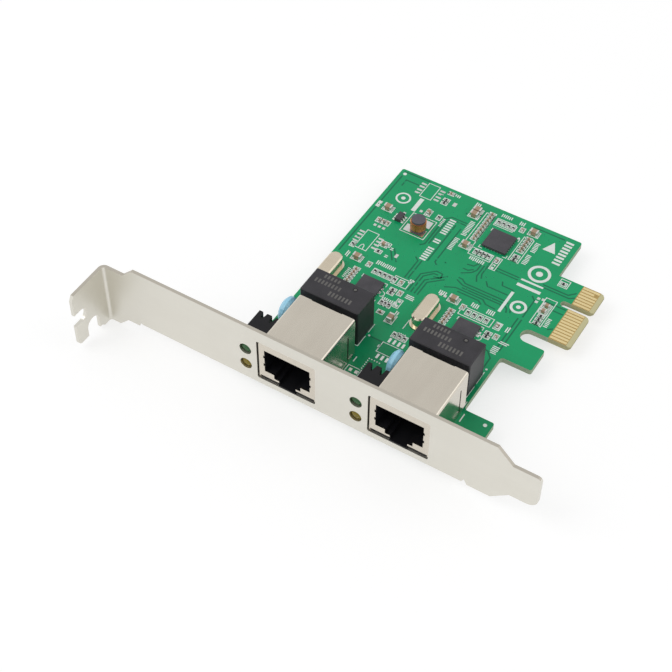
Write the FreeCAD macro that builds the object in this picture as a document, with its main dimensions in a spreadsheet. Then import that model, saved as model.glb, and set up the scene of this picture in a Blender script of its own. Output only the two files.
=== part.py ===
import FreeCAD, Part

import math
import os

import Sketcher
from FreeCAD import Placement, Rotation, Vector

# Dual-port network interface card. Frame: the origin lies on the outer face of the bracket, midway
# between the two sockets, level with the component side of the board. +X runs along the bracket
# towards its tail, +Y runs from the panel inward along the board, +Z points up from the board.

DIMENSIONS = {
    # board
    "board_thick": 1.57,
    "board_left": 30.54,
    "board_right": 23.15,
    "board_near": 1.3,
    "board_far": 82.0,
    "board_corner": 0.6,
    "near_tab_reach": 31.35,
    "near_tab_far": 17.66,
    "cutout_far": 36.5,
    "cutout_corner": 1.0,
    "hook_far": 43.96,
    "slot_width": 4.19,
    "slot_end": 23.7,
    # card-edge tab and its contacts
    "tab_reach": 36.06,
    "key_middle": 60.3,
    "key_width": 1.9,
    "key_end": 27.6,
    "tab_bevel_run": 1.1,
    "tab_bevel_drop": 0.45,
    "tab_corner": 0.5,
    "contact_pitch": 1.0,
    "contact_width": 0.7,
    "contact_thick": 0.05,
    "contact_start": 30.3,
    "contact_length": 4.55,
    "contact_short": 3.4,
    "key_to_contact": 1.5,
    "tab_margin": 0.65,
    # bracket sheet
    "sheet": 0.86,
    "bend_inner": 0.8,
    "lip_bend_inner": 0.44,
    "bracket_left": 69.0,
    "bracket_right": 51.02,
    "panel_top": 16.85,
    "neck_top": 13.8,
    "neck_width": 19.05,
    "neck_top_run": 6.6,
    "neck_bottom_run": 3.9,
    "lip_left": 57.9,
    "lip_right": 31.9,
    "lip_depth": 3.0,
    "relief_left_width": 1.0,
    "relief_left_top": 0.7,
    "relief_right_width": 1.6,
    "relief_right_top": 0.3,
    "tail_foot": 1.9,
    "tail_shoulder": 39.9,
    "tail_top": 12.7,
    "tail_bottom": 2.0,
    "tail_slope": 4.5,
    "tail_corner_top": 1.2,
    "tail_corner_bottom": 2.8,
    # mounting flange
    "flange_depth": 12.45,
    "flange_clip_depth": 0.85,
    "flange_clip_drop": 1.5,
    "flange_inner_foot": 4.3,
    "flange_step": 3.4,
    "flange_prong_foot": 3.4,
    "flange_slot_radius": 1.95,
    "flange_slot_height": 5.4,
    "flange_slot_end": 8.2,
    "flange_notch_radius": 2.2,
    "flange_notch_middle": 6.4,
    "flange_notch_top": 1.2,
    # ears and screws
    "ear_width": 7.0,
    "ear_depth": 10.4,
    "ear_corner": 1.2,
    "screw_setback": 6.3,
    "screw_left": 3.4,
    "screw_right": 27.2,
    "screw_shank": 2.9,
    "screw_hole_gap": 0.3,
    "screw_tap_gap": 0.04,
    "screw_head": 5.4,
    "screw_head_tall": 1.9,
    "screw_point": 1.2,
    "screw_cross": 2.8,
    "screw_cross_width": 0.6,
    "screw_cross_deep": 1.0,
    # sockets
    "jack_pitch": 30.5,
    "jack_width": 15.75,
    "jack_front": 0.35,
    "jack_rear": 18.2,
    "jack_tall": 13.0,
    "jack_wall": 0.3,
    "jack_fold": 0.7,
    "jack_fit": 0.05,
    "front_lower_edge": 1.4,
    "window_gap_left": 0.35,
    "window_gap_right": 0.12,
    "window_bottom": 0.35,
    "window_top_gap": 0.35,
    "window_corner": 0.5,
    "mouth_width": 12.6,
    "mouth_bottom": 3.4,
    "mouth_top": 10.8,
    "mouth_depth": 12.6,
    "step_width": 7.4,
    "step_bottom": 2.0,
    "latch_width": 4.7,
    "latch_bottom": 0.75,
    "sill_setback": 0.1,
    "rear_step_deep": 0.3,
    "rear_step_width": 8.5,
    "nick_depth": 0.3,
    "nick_tall": 0.9,
    "nick_low": 5.2,
    "nick_high": 8.0,
    "seam_width": 0.5,
    "seam_setback": 3.2,
    "seam_bottom": 1.5,
    "seam_top": 9.7,
    "rear_notch_run": 1.4,
    "rear_notch_tall": 1.1,
    "lock_width": 1.1,
    "lock_reach": 1.0,
    "lock_setback": 9.0,
    "peg_diameter": 3.2,
    "peg_spread": 11.43,
    "peg_setback": 8.9,
    "peg_reach": 1.3,
    "hole_gap": 0.05,
    "wire_pitch": 1.02,
    "wire_width": 0.46,
    "wire_thick": 0.25,
    "wire_front": 2.4,
    "wire_rear": 10.2,
    "wire_tip": 8.4,
    "tail_pin": 0.46,
    "tail_pin_pitch": 2.54,
    "tail_pin_stagger": 1.27,
    "tail_pin_first_row": 13.4,
    "tail_pin_row_gap": 2.54,
    "pin_reach": 1.2,
    # indicator holders
    "led_offset": 11.45,
    "led_high": 8.64,
    "led_low": 3.42,
    "led_hole": 3.3,
    "led_lens": 3.0,
    "led_setback": -0.3,
    "led_length": 5.4,
    "led_fit": 0.05,
    "holder_gap": 0.24,
    "holder_width": 5.8,
    "holder_depth": 9.6,
    "holder_tall": 10.5,
    "lead_groove_mouth": 1.25,
    "lead_groove_floor": 0.52,
    "lead_groove_deep": 2.1,
    "lead_spread": 2.54,
    "lead_wire": 0.45,
    # transformer modules
    "magnetics_offset": 1.55,
    "magnetics_width": 16.5,
    "magnetics_near": 21.4,
    "magnetics_depth": 8.1,
    "magnetics_tall": 11.2,
    "magnetics_edge": 0.25,
    "magnetics_dimple": 1.3,
    "dimple_deep": 0.15,
    "dimple_inset": 4.6,
    "dimple_far_inset": 1.7,
    "magnetics_pin_pitch": 1.9,
    "magnetics_row_gap": 5.4,
    # flat chips
    "controller_side": 6.0,
    "controller_tall": 0.85,
    "switch_side": 6.8,
    "chip_pad_pitch": 0.85,
    "chip_pad_width": 0.4,
    "chip_pad_length": 0.35,
    "chip_pad_thick": 0.2,
    "chip_pad_show": 0.08,
    # metal-can crystals
    "crystal_width": 3.7,
    "crystal_length": 10.1,
    "crystal_tall": 3.6,
    "crystal_round": 0.35,
    "crystal_rim": 0.5,
    "crystal_rim_tall": 0.45,
    "crystal_lead_pitch": 4.88,
    # disc capacitors
    "disc_diameter": 7.2,
    "disc_thick": 2.2,
    "disc_round": 0.7,
    "disc_lift": 0.5,
    "disc_lead_pitch": 5.0,
    "disc_lead_tall": 1.35,
    # supply parts
    "drum_diameter": 3.8,
    "drum_tall": 3.6,
    "drum_flange": 0.6,
    "drum_neck": 2.2,
    "winding_diameter": 4.3,
    "winding_fit": 0.05,
    "regulator_width": 1.6,
    "regulator_length": 2.9,
    "regulator_tall": 1.1,
    "regulator_lift": 0.1,
    "regulator_lead_pitch": 0.95,
    "regulator_lead_width": 0.4,
    "regulator_lead_thick": 0.15,
    "regulator_lead_reach": 0.65,
    # chip resistors and capacitors
    "small_length": 1.0,
    "small_width": 0.5,
    "resistor_tall": 0.35,
    "capacitor_tall": 0.5,
    "medium_length": 1.6,
    "medium_width": 0.85,
    "medium_end": 0.35,
    "large_length": 2.2,
    "large_width": 1.4,
    "large_tall": 1.25,
    "large_end": 0.42,
}

CONTACTS_FAR = 7
CONTACTS_NEAR = 11
JACK_WIRES = 8
MAGNETICS_PINS = 8
PADS_PER_SIDE = 6
DISC_FLATS = 20

# Places on the board, in millimetres from its left edge and from the bracket's outer face.
CONTROLLERS = ((14.6, 39.1), (42.2, 39.1))
SWITCH = (35.3, 70.6)
CRYSTALS = ((3.4, 38.1), (31.4, 38.4))
INDUCTOR = (14.8, 64.1)
REGULATOR = (8.8, 64.9)
DISC_PLACES = ((11.9, 19.1), (11.25, 18.2))

# Rows of like chips: kind, first place, step to the next, how many, and whether each lies along X.
CHIP_ROWS = (
    ("capacitor", 16.0, 80.2, 0.0, 0.0, 1, True),
    ("resistor", 16.0, 76.1, 0.0, 1.2, 2, True),
    ("large", 4.4, 66.5, 0.0, 0.0, 1, True),
    ("capacitor", 4.4, 61.5, 1.3, 0.0, 3, False),
    ("medium", 10.2, 54.3, 0.0, 0.0, 1, True),
    ("resistor", 10.2, 51.5, 0.0, 0.0, 1, True),
    ("resistor", 3.2, 50.3, 0.0, 0.0, 1, False),
    ("large", 6.7, 46.7, 0.0, 0.0, 1, True),
    ("capacitor", 10.5, 46.3, 0.0, 0.0, 1, False),
    ("resistor", 13.1, 45.0, 1.4, 0.0, 5, False),
    ("capacitor", 20.7, 45.0, 0.0, 0.0, 1, False),
    ("resistor", 20.2, 40.6, 0.0, 1.2, 2, True),
    ("capacitor", 22.3, 41.7, 0.0, 0.0, 1, False),
    ("resistor", 19.9, 36.7, 1.0, 0.0, 3, False),
    ("capacitor", 21.3, 33.7, 0.0, 0.0, 1, True),
    ("large", 24.6, 33.0, 0.0, 0.0, 1, False),
    ("capacitor", 8.6, 38.6, 0.0, 1.15, 5, True),
    ("resistor", 28.1, 29.0, 1.4, 0.0, 3, False),
    ("medium", 14.3, 70.6, 0.0, 0.0, 1, False),
    ("resistor", 17.5, 70.5, 0.0, 0.0, 1, False),
    ("large", 25.0, 76.2, 0.0, 1.8, 2, True),
    ("capacitor", 29.0, 68.6, 0.0, 1.3, 9, True),
    ("large", 28.3, 65.2, 0.0, 0.0, 1, True),
    ("resistor", 31.8, 77.3, 1.4, 0.0, 4, False),
    ("capacitor", 38.3, 78.0, 0.0, 0.0, 1, False),
    ("large", 41.5, 78.4, 0.0, 0.0, 1, True),
    ("capacitor", 41.3, 70.9, 0.0, 1.25, 5, True),
    ("resistor", 41.3, 67.3, 0.0, 1.3, 2, True),
    ("resistor", 31.7, 64.7, 1.2, 0.0, 4, False),
    ("capacitor", 37.7, 64.6, 0.0, 0.0, 1, False),
    ("large", 34.9, 46.9, 0.0, 0.0, 1, True),
    ("capacitor", 38.0, 46.0, 0.0, 0.0, 1, False),
    ("resistor", 40.0, 45.0, 1.7, 0.0, 4, False),
    ("capacitor", 48.3, 45.0, 0.0, 0.0, 1, False),
    ("resistor", 47.5, 40.4, 0.0, 1.2, 2, True),
    ("capacitor", 49.6, 41.6, 0.0, 0.0, 1, False),
    ("capacitor", 36.1, 38.8, 0.0, 1.15, 5, True),
)

# The same for the tab's root, with the second place measured from the middle of the key notch.
TAB_ROWS = (
    ("resistor", 56.0, 6.0, 0.0, 0.0, 1, True),
    ("medium", 55.8, -5.1, 0.0, 2.0, 2, True),
    ("resistor", 56.0, -9.4, 0.0, 1.3, 3, True),
)


class Size:
    """A length that carries its value together with the sheet expression that gives it."""

    def __init__(self, value, text):
        self.value = float(value)
        self.text = text

    @staticmethod
    def of(thing):
        """Returns a Size for a Size or a plain number."""
        if isinstance(thing, Size):
            return thing
        return Size(thing, repr(float(thing)))

    def _join(self, other, sign, value):
        return Size(value, f"({self.text} {sign} {other.text})")

    def __add__(self, other):
        other = Size.of(other)
        return self._join(other, "+", self.value + other.value)

    def __sub__(self, other):
        other = Size.of(other)
        return self._join(other, "-", self.value - other.value)

    def __mul__(self, other):
        other = Size.of(other)
        return self._join(other, "*", self.value * other.value)

    def __truediv__(self, other):
        other = Size.of(other)
        return self._join(other, "/", self.value / other.value)

    def __radd__(self, other):
        return Size.of(other) + self

    def __rsub__(self, other):
        return Size.of(other) - self

    def __rmul__(self, other):
        return Size.of(other) * self

    def __neg__(self):
        return Size(-self.value, f"(0 - {self.text})")


doc = FreeCAD.newDocument("network_interface_card")
sheet = doc.addObject("Spreadsheet::Sheet", "Dimensions")
for row, (alias, number) in enumerate(DIMENSIONS.items(), start=1):
    sheet.set(f"A{row}", alias)
    sheet.set(f"B{row}", str(number))
    sheet.setAlias(f"B{row}", alias)
doc.recompute()


class Dimensions:
    """Gives each named dimension of the sheet as a Size."""

    def __getattr__(self, name):
        return Size(sheet.get(name), f"{sheet.Name}.{name}")


d = Dimensions()
pieces = []


def bind(target, prop, size):
    """Ties a property of a document object to the sheet."""
    target.setExpression(prop, Size.of(size).text)


def place(target, x=0.0, y=0.0, z=0.0):
    """Ties the place of a document object to the sheet."""
    for axis, size in zip("xyz", (x, y, z)):
        if isinstance(size, Size):
            bind(target, f"Placement.Base.{axis}", size)
        elif size:
            bind(target, f"Placement.Base.{axis}", Size.of(size))


class Body:
    """A PartDesign body, built from sketches on its own origin planes.

    A sketch on XY has u = X and v = Y, on XZ it has u = X and v = Z, on YZ it has u = Y and v = Z.
    Every pad and cut starts at a level on the plane's own axis and runs towards plus.
    """

    def __init__(self, name, x=0.0, y=0.0, z=0.0):
        self.name = name
        self.body = doc.addObject("PartDesign::Body", name)
        self.body.Label = name
        place(self.body, x, y, z)
        self.count = 0
        pieces.append(self.body)

    def sketch(self, plane, start):
        """Makes an empty sketch at a level of one of the body's planes."""
        self.count += 1
        made = self.body.newObject("Sketcher::SketchObject", f"{self.name}_sketch_{self.count}")
        role = f"{plane}_Plane"
        face = [o for o in self.body.Origin.OriginFeatures if o.Role == role][0]
        made.AttachmentSupport = [(face, "")]
        made.MapMode = "FlatFace"
        offset = -Size.of(start) if plane == "XZ" else Size.of(start)
        bind(made, "AttachmentOffset.Base.z", offset)
        return made

    def add(self, plane, start, length, *shapes):
        """Pads closed shapes from a level of a plane towards plus."""
        made = self.sketch(plane, start)
        for shape in shapes:
            shape(made)
        pad = self.body.newObject("PartDesign::Pad", f"{self.name}_pad_{self.count}")
        pad.Profile = made
        bind(pad, "Length", length)
        pad.Reversed = plane == "XZ"
        return self._settle(pad, True)

    def cut(self, plane, start, length, *shapes):
        """Pockets closed shapes from a level of a plane towards plus."""
        made = self.sketch(plane, start)
        for shape in shapes:
            shape(made)
        pocket = self.body.newObject("PartDesign::Pocket", f"{self.name}_pocket_{self.count}")
        pocket.Profile = made
        bind(pocket, "Length", length)
        pocket.Reversed = plane != "XZ"
        return self._settle(pocket, False)

    def turn(self, plane, start, shape, axis="V_Axis"):
        """Revolves a closed shape once around an axis of its own sketch."""
        made = self.sketch(plane, start)
        shape(made)
        turned = self.body.newObject("PartDesign::Revolution", f"{self.name}_turn_{self.count}")
        turned.Profile = made
        turned.ReferenceAxis = (made, [axis])
        turned.Angle = 360
        return self._settle(turned, True)

    def repeat(self, feature, plane_axis, pitch, count):
        """Repeats the last feature along an axis of the body."""
        self.count += 1
        pattern = self.body.newObject("PartDesign::LinearPattern", f"{self.name}_row_{self.count}")
        pattern.Originals = [feature]
        axis = [o for o in self.body.Origin.OriginFeatures if o.Role == f"{plane_axis}_Axis"][0]
        pattern.Direction = (axis, [""])
        bind(pattern, "Length", pitch * float(count - 1))
        pattern.Occurrences = count
        self.body.Tip = pattern
        doc.recompute()
        return pattern

    def _settle(self, feature, adds):
        before = self.volume if self.count > 1 and hasattr(self, "volume") else 0.0
        self.body.Tip = feature
        doc.recompute()
        self.volume = self.body.Shape.Volume
        changed = self.volume - before
        if adds != (changed > 0):
            raise RuntimeError(f"{feature.Name} changed the volume by {changed:.4f}")
        return feature

    def round(self, radius, test):
        """Rounds every edge of the present shape that passes a test on its middle and direction."""
        return self._dress("PartDesign::Fillet", "Radius", radius, test)

    def bevel(self, size, test):
        """Chamfers every edge of the present shape that passes a test."""
        return self._dress("PartDesign::Chamfer", "Size", size, test)

    def _dress(self, kind, prop, size, test):
        self.count += 1
        base = self.body.Tip
        names = []
        for number, edge in enumerate(base.Shape.Edges, start=1):
            ends = [vertex.Point for vertex in edge.Vertexes]
            middle = edge.valueAt((edge.FirstParameter + edge.LastParameter) / 2)
            run = ends[-1] - ends[0]
            if test(middle, run, edge):
                names.append(f"Edge{number}")
        if not names:
            raise RuntimeError(f"{self.name}: no edge to dress")
        dressed = self.body.newObject(kind, f"{self.name}_edge_{self.count}")
        dressed.Base = (base, names)
        bind(dressed, prop, size)
        self.body.Tip = dressed
        doc.recompute()
        self.volume = self.body.Shape.Volume
        return dressed


def tie(sketch, kind, geometry, point, size):
    """Holds one coordinate of a sketch point at a distance from the sketch's origin."""
    size = Size.of(size)
    index = sketch.addConstraint(Sketcher.Constraint(kind, -1, 1, geometry, point, size.value))
    sketch.setExpression(f"Constraints[{index}]", size.text)


def outline(*corners):
    """Returns a closed chain of straight edges through corners given as (u, v) sizes."""

    def draw(sketch):
        first = sketch.GeometryCount
        total = len(corners)
        points = [Vector(Size.of(u).value, Size.of(v).value, 0) for u, v in corners]
        for index in range(total):
            edge = Part.LineSegment(points[index], points[(index + 1) % total])
            sketch.addGeometry(edge, False)
        for index in range(total):
            following = first + (index + 1) % total
            sketch.addConstraint(Sketcher.Constraint("Coincident", first + index, 2, following, 1))
        for index, (u, v) in enumerate(corners):
            tie(sketch, "DistanceX", first + index, 1, u)
            tie(sketch, "DistanceY", first + index, 1, v)

    return draw


def rectangle(u0, u1, v0, v1):
    """Returns a rectangle between two u levels and two v levels."""
    return outline((u0, v0), (u1, v0), (u1, v1), (u0, v1))


def circle(u, v, radius):
    """Returns a circle with its centre at (u, v)."""

    def draw(sketch):
        centre = Vector(Size.of(u).value, Size.of(v).value, 0)
        index = sketch.GeometryCount
        sketch.addGeometry(Part.Circle(centre, Vector(0, 0, 1), Size.of(radius).value), False)
        tie(sketch, "DistanceX", index, 3, u)
        tie(sketch, "DistanceY", index, 3, v)
        held = sketch.addConstraint(Sketcher.Constraint("Radius", index, Size.of(radius).value))
        sketch.setExpression(f"Constraints[{held}]", Size.of(radius).text)

    return draw


def stadium(middle_u, middle_v, half_run, radius):
    """Returns a slot shape with round ends, long in v."""

    def draw(sketch):
        u, v = Size.of(middle_u), Size.of(middle_v)
        run, r = Size.of(half_run), Size.of(radius)
        top = Vector(u.value, (v + run).value, 0)
        bottom = Vector(u.value, (v - run).value, 0)
        first = sketch.GeometryCount
        half_turn = 3.141592653589793
        up = Part.Circle(top, Vector(0, 0, 1), r.value)
        down = Part.Circle(bottom, Vector(0, 0, 1), r.value)
        side = Vector(r.value, 0, 0)
        sketch.addGeometry(Part.ArcOfCircle(up, 0, half_turn), False)
        sketch.addGeometry(Part.LineSegment(top - side, bottom - side), False)
        sketch.addGeometry(Part.ArcOfCircle(down, half_turn, 2 * half_turn), False)
        sketch.addGeometry(Part.LineSegment(bottom + side, top + side), False)
        for index, (point, other) in enumerate(((2, 1), (2, 1), (2, 1), (2, 1))):
            following = first + (index + 1) % 4
            sketch.addConstraint(
                Sketcher.Constraint("Tangent", first + index, point, following, other)
            )
        tie(sketch, "DistanceX", first, 3, u)
        tie(sketch, "DistanceY", first, 3, v + run)
        tie(sketch, "DistanceY", first + 2, 3, v - run)
        sketch.addConstraint(Sketcher.Constraint("Vertical", first + 1))
        held = sketch.addConstraint(Sketcher.Constraint("Radius", first, r.value))
        sketch.setExpression(f"Constraints[{held}]", r.text)

    return draw


class Group:
    """Like pieces that share a node, each a bound box of its own."""

    def __init__(self, name, x=0.0, y=0.0):
        self.name = name
        self.x = Size.of(x)
        self.y = Size.of(y)
        self.members = []

    def box(self, x0, x1, y0, y1, z0, z1):
        """Adds a box between two levels on each axis."""
        number = len(self.members) + 1
        made = doc.addObject("Part::Box", f"{self.name}_box_{number}")
        bind(made, "Length", Size.of(x1) - x0)
        bind(made, "Width", Size.of(y1) - y0)
        bind(made, "Height", Size.of(z1) - z0)
        place(made, self.x + x0, self.y + y0, Size.of(z0))
        self.members.append(made)
        return made

    def keep(self, made):
        """Adds any other bound object."""
        self.members.append(made)

    def close(self):
        """Closes the group into one node."""
        group = doc.addObject("Part::Compound", self.name)
        group.Label = self.name
        group.Links = self.members
        pieces.append(group)
        return group


def along(run, axis):
    """Tells whether an edge runs along one axis."""
    parts = [abs(run.x), abs(run.y), abs(run.z)]
    longest = max(parts)
    return longest > 1e-6 and parts["XYZ".index(axis)] > 0.999 * run.Length


def near(value, size, slack=0.02):
    """Tells whether a coordinate lies at a size."""
    return abs(value - Size.of(size).value) < slack


BOARD_FOOT = -d.board_thick
LIP_FOOT = -(d.board_thick + d.sheet)
SCREW_PLACES = (-d.screw_left, d.screw_right)
JACK_CENTRES = (-(d.jack_pitch / 2.0), d.jack_pitch / 2.0)
HALF_JACK = d.jack_width / 2.0
LOCK_PLACE = d.jack_front + d.lock_setback
PEG_PLACE = d.jack_front + d.peg_setback


def on_board(u, v):
    """Turns a place on the board into the card's own frame."""
    return Size.of(u) - d.board_left, Size.of(v)


def build_bracket():
    """Folded sheet: panel, slotted mounting flange, tail, and a lip with two ears under the board."""
    part = Body("bracket")
    left = -d.bracket_left
    neck_foot = d.neck_top - d.neck_width
    lip_left = -d.lip_left
    rise = d.panel_top - d.neck_top
    drop = LIP_FOOT - neck_foot
    part.add(
        "XZ", 0.0, d.sheet,
        outline(
            (left, d.neck_top),
            (left + d.neck_top_run, d.neck_top),
            (left + d.neck_top_run + rise, d.panel_top),
            (d.tail_shoulder, d.panel_top),
            (d.tail_shoulder + d.panel_top - d.tail_top, d.tail_top),
            (d.bracket_right, d.tail_top),
            (d.bracket_right, d.tail_bottom),
            (d.tail_shoulder - 0.4 + d.tail_slope, d.tail_bottom),
            (d.tail_shoulder - 0.4, -d.tail_foot),
            (d.lip_right + d.relief_right_width, -d.tail_foot),
            (d.lip_right + d.relief_right_width * 0.5, -d.relief_right_top),
            (d.lip_right, -d.tail_foot),
            (d.lip_right, LIP_FOOT),
            (lip_left, LIP_FOOT),
            (lip_left, LIP_FOOT + d.sheet),
            (lip_left - d.relief_left_width * 0.5, -d.relief_left_top),
            (lip_left - d.relief_left_width, LIP_FOOT),
            (left + d.neck_bottom_run + drop, LIP_FOOT),
            (left + d.neck_bottom_run, neck_foot),
            (left, neck_foot),
        ),
    )
    outer = -d.flange_depth
    part.add(
        "YZ", left, d.sheet,
        outline(
            (d.sheet, d.neck_top),
            (outer + d.flange_clip_depth, d.neck_top),
            (outer, d.neck_top - d.flange_clip_drop),
            (outer, -d.flange_prong_foot),
            (-d.flange_notch_middle, -d.flange_prong_foot),
            (-d.flange_notch_middle, -d.flange_inner_foot),
            (-d.flange_step, -d.flange_inner_foot),
            (-d.flange_step + (d.neck_width - d.neck_top - d.flange_inner_foot), neck_foot),
            (d.sheet, neck_foot),
        ),
    )
    part.add("YZ", lip_left, d.lip_left + d.lip_right,
             rectangle(0.0, d.lip_depth, LIP_FOOT, BOARD_FOOT))
    for middle in SCREW_PLACES:
        half = d.ear_width / 2.0
        part.add("XY", LIP_FOOT, d.sheet,
                 rectangle(middle - half, middle + half, d.sheet, d.ear_depth))
    part.round(d.ear_corner, lambda middle, run, edge: along(run, "Z") and
               near(middle.y, d.ear_depth) and near(edge.Length, d.sheet))
    lip_run = (d.lip_left + d.lip_right).value
    part.round(d.bend_inner + d.sheet, lambda middle, run, edge: along(run, "Z") and
               near(middle.x, left) and near(middle.y, d.sheet))
    part.round(d.bend_inner, lambda middle, run, edge: along(run, "Z") and
               near(middle.x, left + d.sheet) and near(middle.y, 0.0))
    part.round(d.lip_bend_inner + d.sheet, lambda middle, run, edge: along(run, "X") and
               near(middle.z, LIP_FOOT) and near(middle.y, 0.0) and edge.Length > lip_run * 0.9)
    part.round(d.lip_bend_inner, lambda middle, run, edge: along(run, "X") and
               near(middle.z, BOARD_FOOT) and near(middle.y, d.sheet))
    part.round(d.tail_corner_top, lambda middle, run, edge: along(run, "Y") and
               near(middle.x, d.bracket_right) and near(middle.z, d.tail_top))
    part.round(d.tail_corner_bottom, lambda middle, run, edge: along(run, "Y") and
               near(middle.x, d.bracket_right) and near(middle.z, d.tail_bottom))
    part.round(d.flange_notch_radius * 0.6, lambda middle, run, edge: along(run, "X") and
               near(middle.y, outer) and near(middle.z, -d.flange_prong_foot))
    slot_middle = -(d.flange_slot_end + d.flange_slot_radius)
    part.cut("YZ", left, d.sheet, circle(slot_middle, d.flange_slot_height, d.flange_slot_radius))
    part.cut("YZ", left, d.sheet,
             rectangle(outer - 1.0, slot_middle, d.flange_slot_height - d.flange_slot_radius,
                       d.flange_slot_height + d.flange_slot_radius))
    notch_middle = d.flange_notch_top - d.flange_notch_radius
    part.cut("YZ", left, d.sheet,
             circle(-d.flange_notch_middle, notch_middle, d.flange_notch_radius))
    part.cut("YZ", left, d.sheet,
             rectangle(-(d.flange_notch_middle + d.flange_notch_radius),
                       d.flange_notch_radius - d.flange_notch_middle,
                       neck_foot - 1.0, notch_middle))
    for middle in JACK_CENTRES:
        window_left = middle - HALF_JACK - d.window_gap_left
        window_right = middle + HALF_JACK + d.window_gap_right
        part.cut("XZ", 0.0, d.sheet,
                 rectangle(window_left, window_right, d.window_bottom,
                           d.jack_tall + d.window_top_gap),
                 circle(middle - d.led_offset, d.led_high, d.led_hole / 2.0),
                 circle(middle - d.led_offset, d.led_low, d.led_hole / 2.0))
    edges = [middle + side for middle in JACK_CENTRES
             for side in (-(HALF_JACK + d.window_gap_left), HALF_JACK + d.window_gap_right)]
    part.round(d.window_corner, lambda middle, run, edge: along(run, "Y") and any(
        near(middle.x, side) for side in edges) and middle.z > 0)
    for middle in SCREW_PLACES:
        part.cut("XY", LIP_FOOT, d.sheet,
                 circle(middle, d.screw_setback, d.screw_shank / 2.0 + d.screw_tap_gap))


def build_board():
    """Laminate with its card-edge tab, key notch, round slot, cut-out and holes."""
    part = Body("circuit_board")
    tab_near = d.key_middle - d.key_to_contact - d.contact_pitch * (CONTACTS_NEAR - 1) - d.tab_margin
    tab_far = d.key_middle + d.key_to_contact + d.contact_pitch * (CONTACTS_FAR - 1) + d.tab_margin
    key_near = d.key_middle - d.key_width / 2.0
    key_far = d.key_middle + d.key_width / 2.0
    part.add(
        "XY", BOARD_FOOT, d.board_thick,
        outline(
            (-d.board_left, d.board_near),
            (d.near_tab_reach, d.board_near),
            (d.near_tab_reach, d.near_tab_far),
            (d.board_right, d.near_tab_far),
            (d.board_right, d.cutout_far),
            (d.near_tab_reach, d.cutout_far),
            (d.near_tab_reach, tab_near - d.slot_width),
            (d.slot_end, tab_near - d.slot_width),
            (d.slot_end, tab_near),
            (d.tab_reach, tab_near),
            (d.tab_reach, key_near),
            (d.key_end, key_near),
            (d.key_end, key_far),
            (d.tab_reach, key_far),
            (d.tab_reach, tab_far),
            (d.board_right, tab_far),
            (d.board_right, d.board_far),
            (-d.board_left, d.board_far),
        ),
    )
    part.round(d.slot_width * 0.49, lambda middle, run, edge: along(run, "Z") and
               near(middle.x, d.slot_end))
    part.round(d.key_width * 0.49, lambda middle, run, edge: along(run, "Z") and
               near(middle.x, d.key_end))
    part.round(d.cutout_corner, lambda middle, run, edge: along(run, "Z") and
               near(middle.x, d.board_right) and middle.y < tab_near.value)
    part.round(d.board_corner, lambda middle, run, edge: along(run, "Z") and (
        near(middle.y, d.board_far) or near(middle.x, d.near_tab_reach)
        or near(middle.y, d.board_near)))
    part.bevel(d.tab_corner, lambda middle, run, edge: along(run, "Z") and
               near(middle.x, d.tab_reach))
    bevel_start = d.tab_reach - d.tab_bevel_run
    far = d.tab_reach + 1.0
    slope = d.tab_bevel_drop / d.tab_bevel_run
    for level, sense in ((Size.of(0.0), -1.0), (BOARD_FOOT, 1.0)):
        body_plane_cut(part, level, sense, bevel_start, far, slope, tab_near, tab_far)
    holes = []
    for middle in SCREW_PLACES:
        holes.append(circle(middle, d.screw_setback, d.screw_shank / 2.0 + d.screw_hole_gap))
    for middle in JACK_CENTRES:
        for side in (-1.0, 1.0):
            peg = middle + d.peg_spread * (side / 2.0)
            holes.append(circle(peg, PEG_PLACE, d.peg_diameter / 2.0 + d.hole_gap))
            wall = middle + side * (HALF_JACK - d.jack_wall / 2.0)
            half = d.jack_wall / 2.0 + d.hole_gap
            holes.append(rectangle(wall - half, wall + half,
                                   LOCK_PLACE - d.lock_width / 2.0 - d.hole_gap,
                                   LOCK_PLACE + d.lock_width / 2.0 + d.hole_gap))
    part.cut("XY", BOARD_FOOT, d.board_thick, *holes)


def body_plane_cut(part, level, sense, start, far, slope, tab_near, tab_far):
    """Bevels one face of the tab's end with a wedge across its whole width."""
    reach = far - start
    deep = level + sense * (slope * reach)
    outside = level - sense * 0.5
    part.cut("XZ", tab_near - 0.5, tab_far - tab_near + 1.0,
             outline((start, level), (far, deep), (far, outside), (start, outside)))


def build_edge_contacts():
    """Gold fingers on both faces of the tab, one of them shorter."""
    for name, low, high in (
        ("edge_contacts_top", Size.of(0.0), d.contact_thick),
        ("edge_contacts_bottom", BOARD_FOOT - d.contact_thick, BOARD_FOOT),
    ):
        group = Group(name)
        half = d.contact_width / 2.0
        for side, count in ((1.0, CONTACTS_FAR), (-1.0, CONTACTS_NEAR)):
            for index in range(count):
                middle = d.key_middle + side * (d.key_to_contact + d.contact_pitch * index)
                short = name.endswith("top") and side > 0 and index == count - 2
                length = d.contact_short if short else d.contact_length
                group.box(d.contact_start, d.contact_start + length,
                          middle - half, middle + half, low, high)
        group.close()


def build_screws():
    """Two pan-head screws that clamp the board to the ears."""
    for number, middle in enumerate(SCREW_PLACES, start=1):
        part = Body(f"bracket_screw_{number}", middle, d.screw_setback)
        shank = d.screw_shank / 2.0
        head = d.screw_head / 2.0
        foot = LIP_FOOT - d.screw_point
        part.turn("XZ", 0.0, outline(
            (0.0, foot), (shank, foot), (shank, 0.0), (head, 0.0),
            (head, d.screw_head_tall), (0.0, d.screw_head_tall)))
        half_cross = d.screw_cross / 2.0
        half_width = d.screw_cross_width / 2.0
        floor = d.screw_head_tall - d.screw_cross_deep
        part.cut("XY", floor, d.screw_cross_deep + 0.2,
                 rectangle(-half_cross, half_cross, -half_width, half_width))
        part.cut("XY", floor, d.screw_cross_deep + 0.2,
                 rectangle(-half_width, half_width, -half_cross, half_cross))


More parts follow.
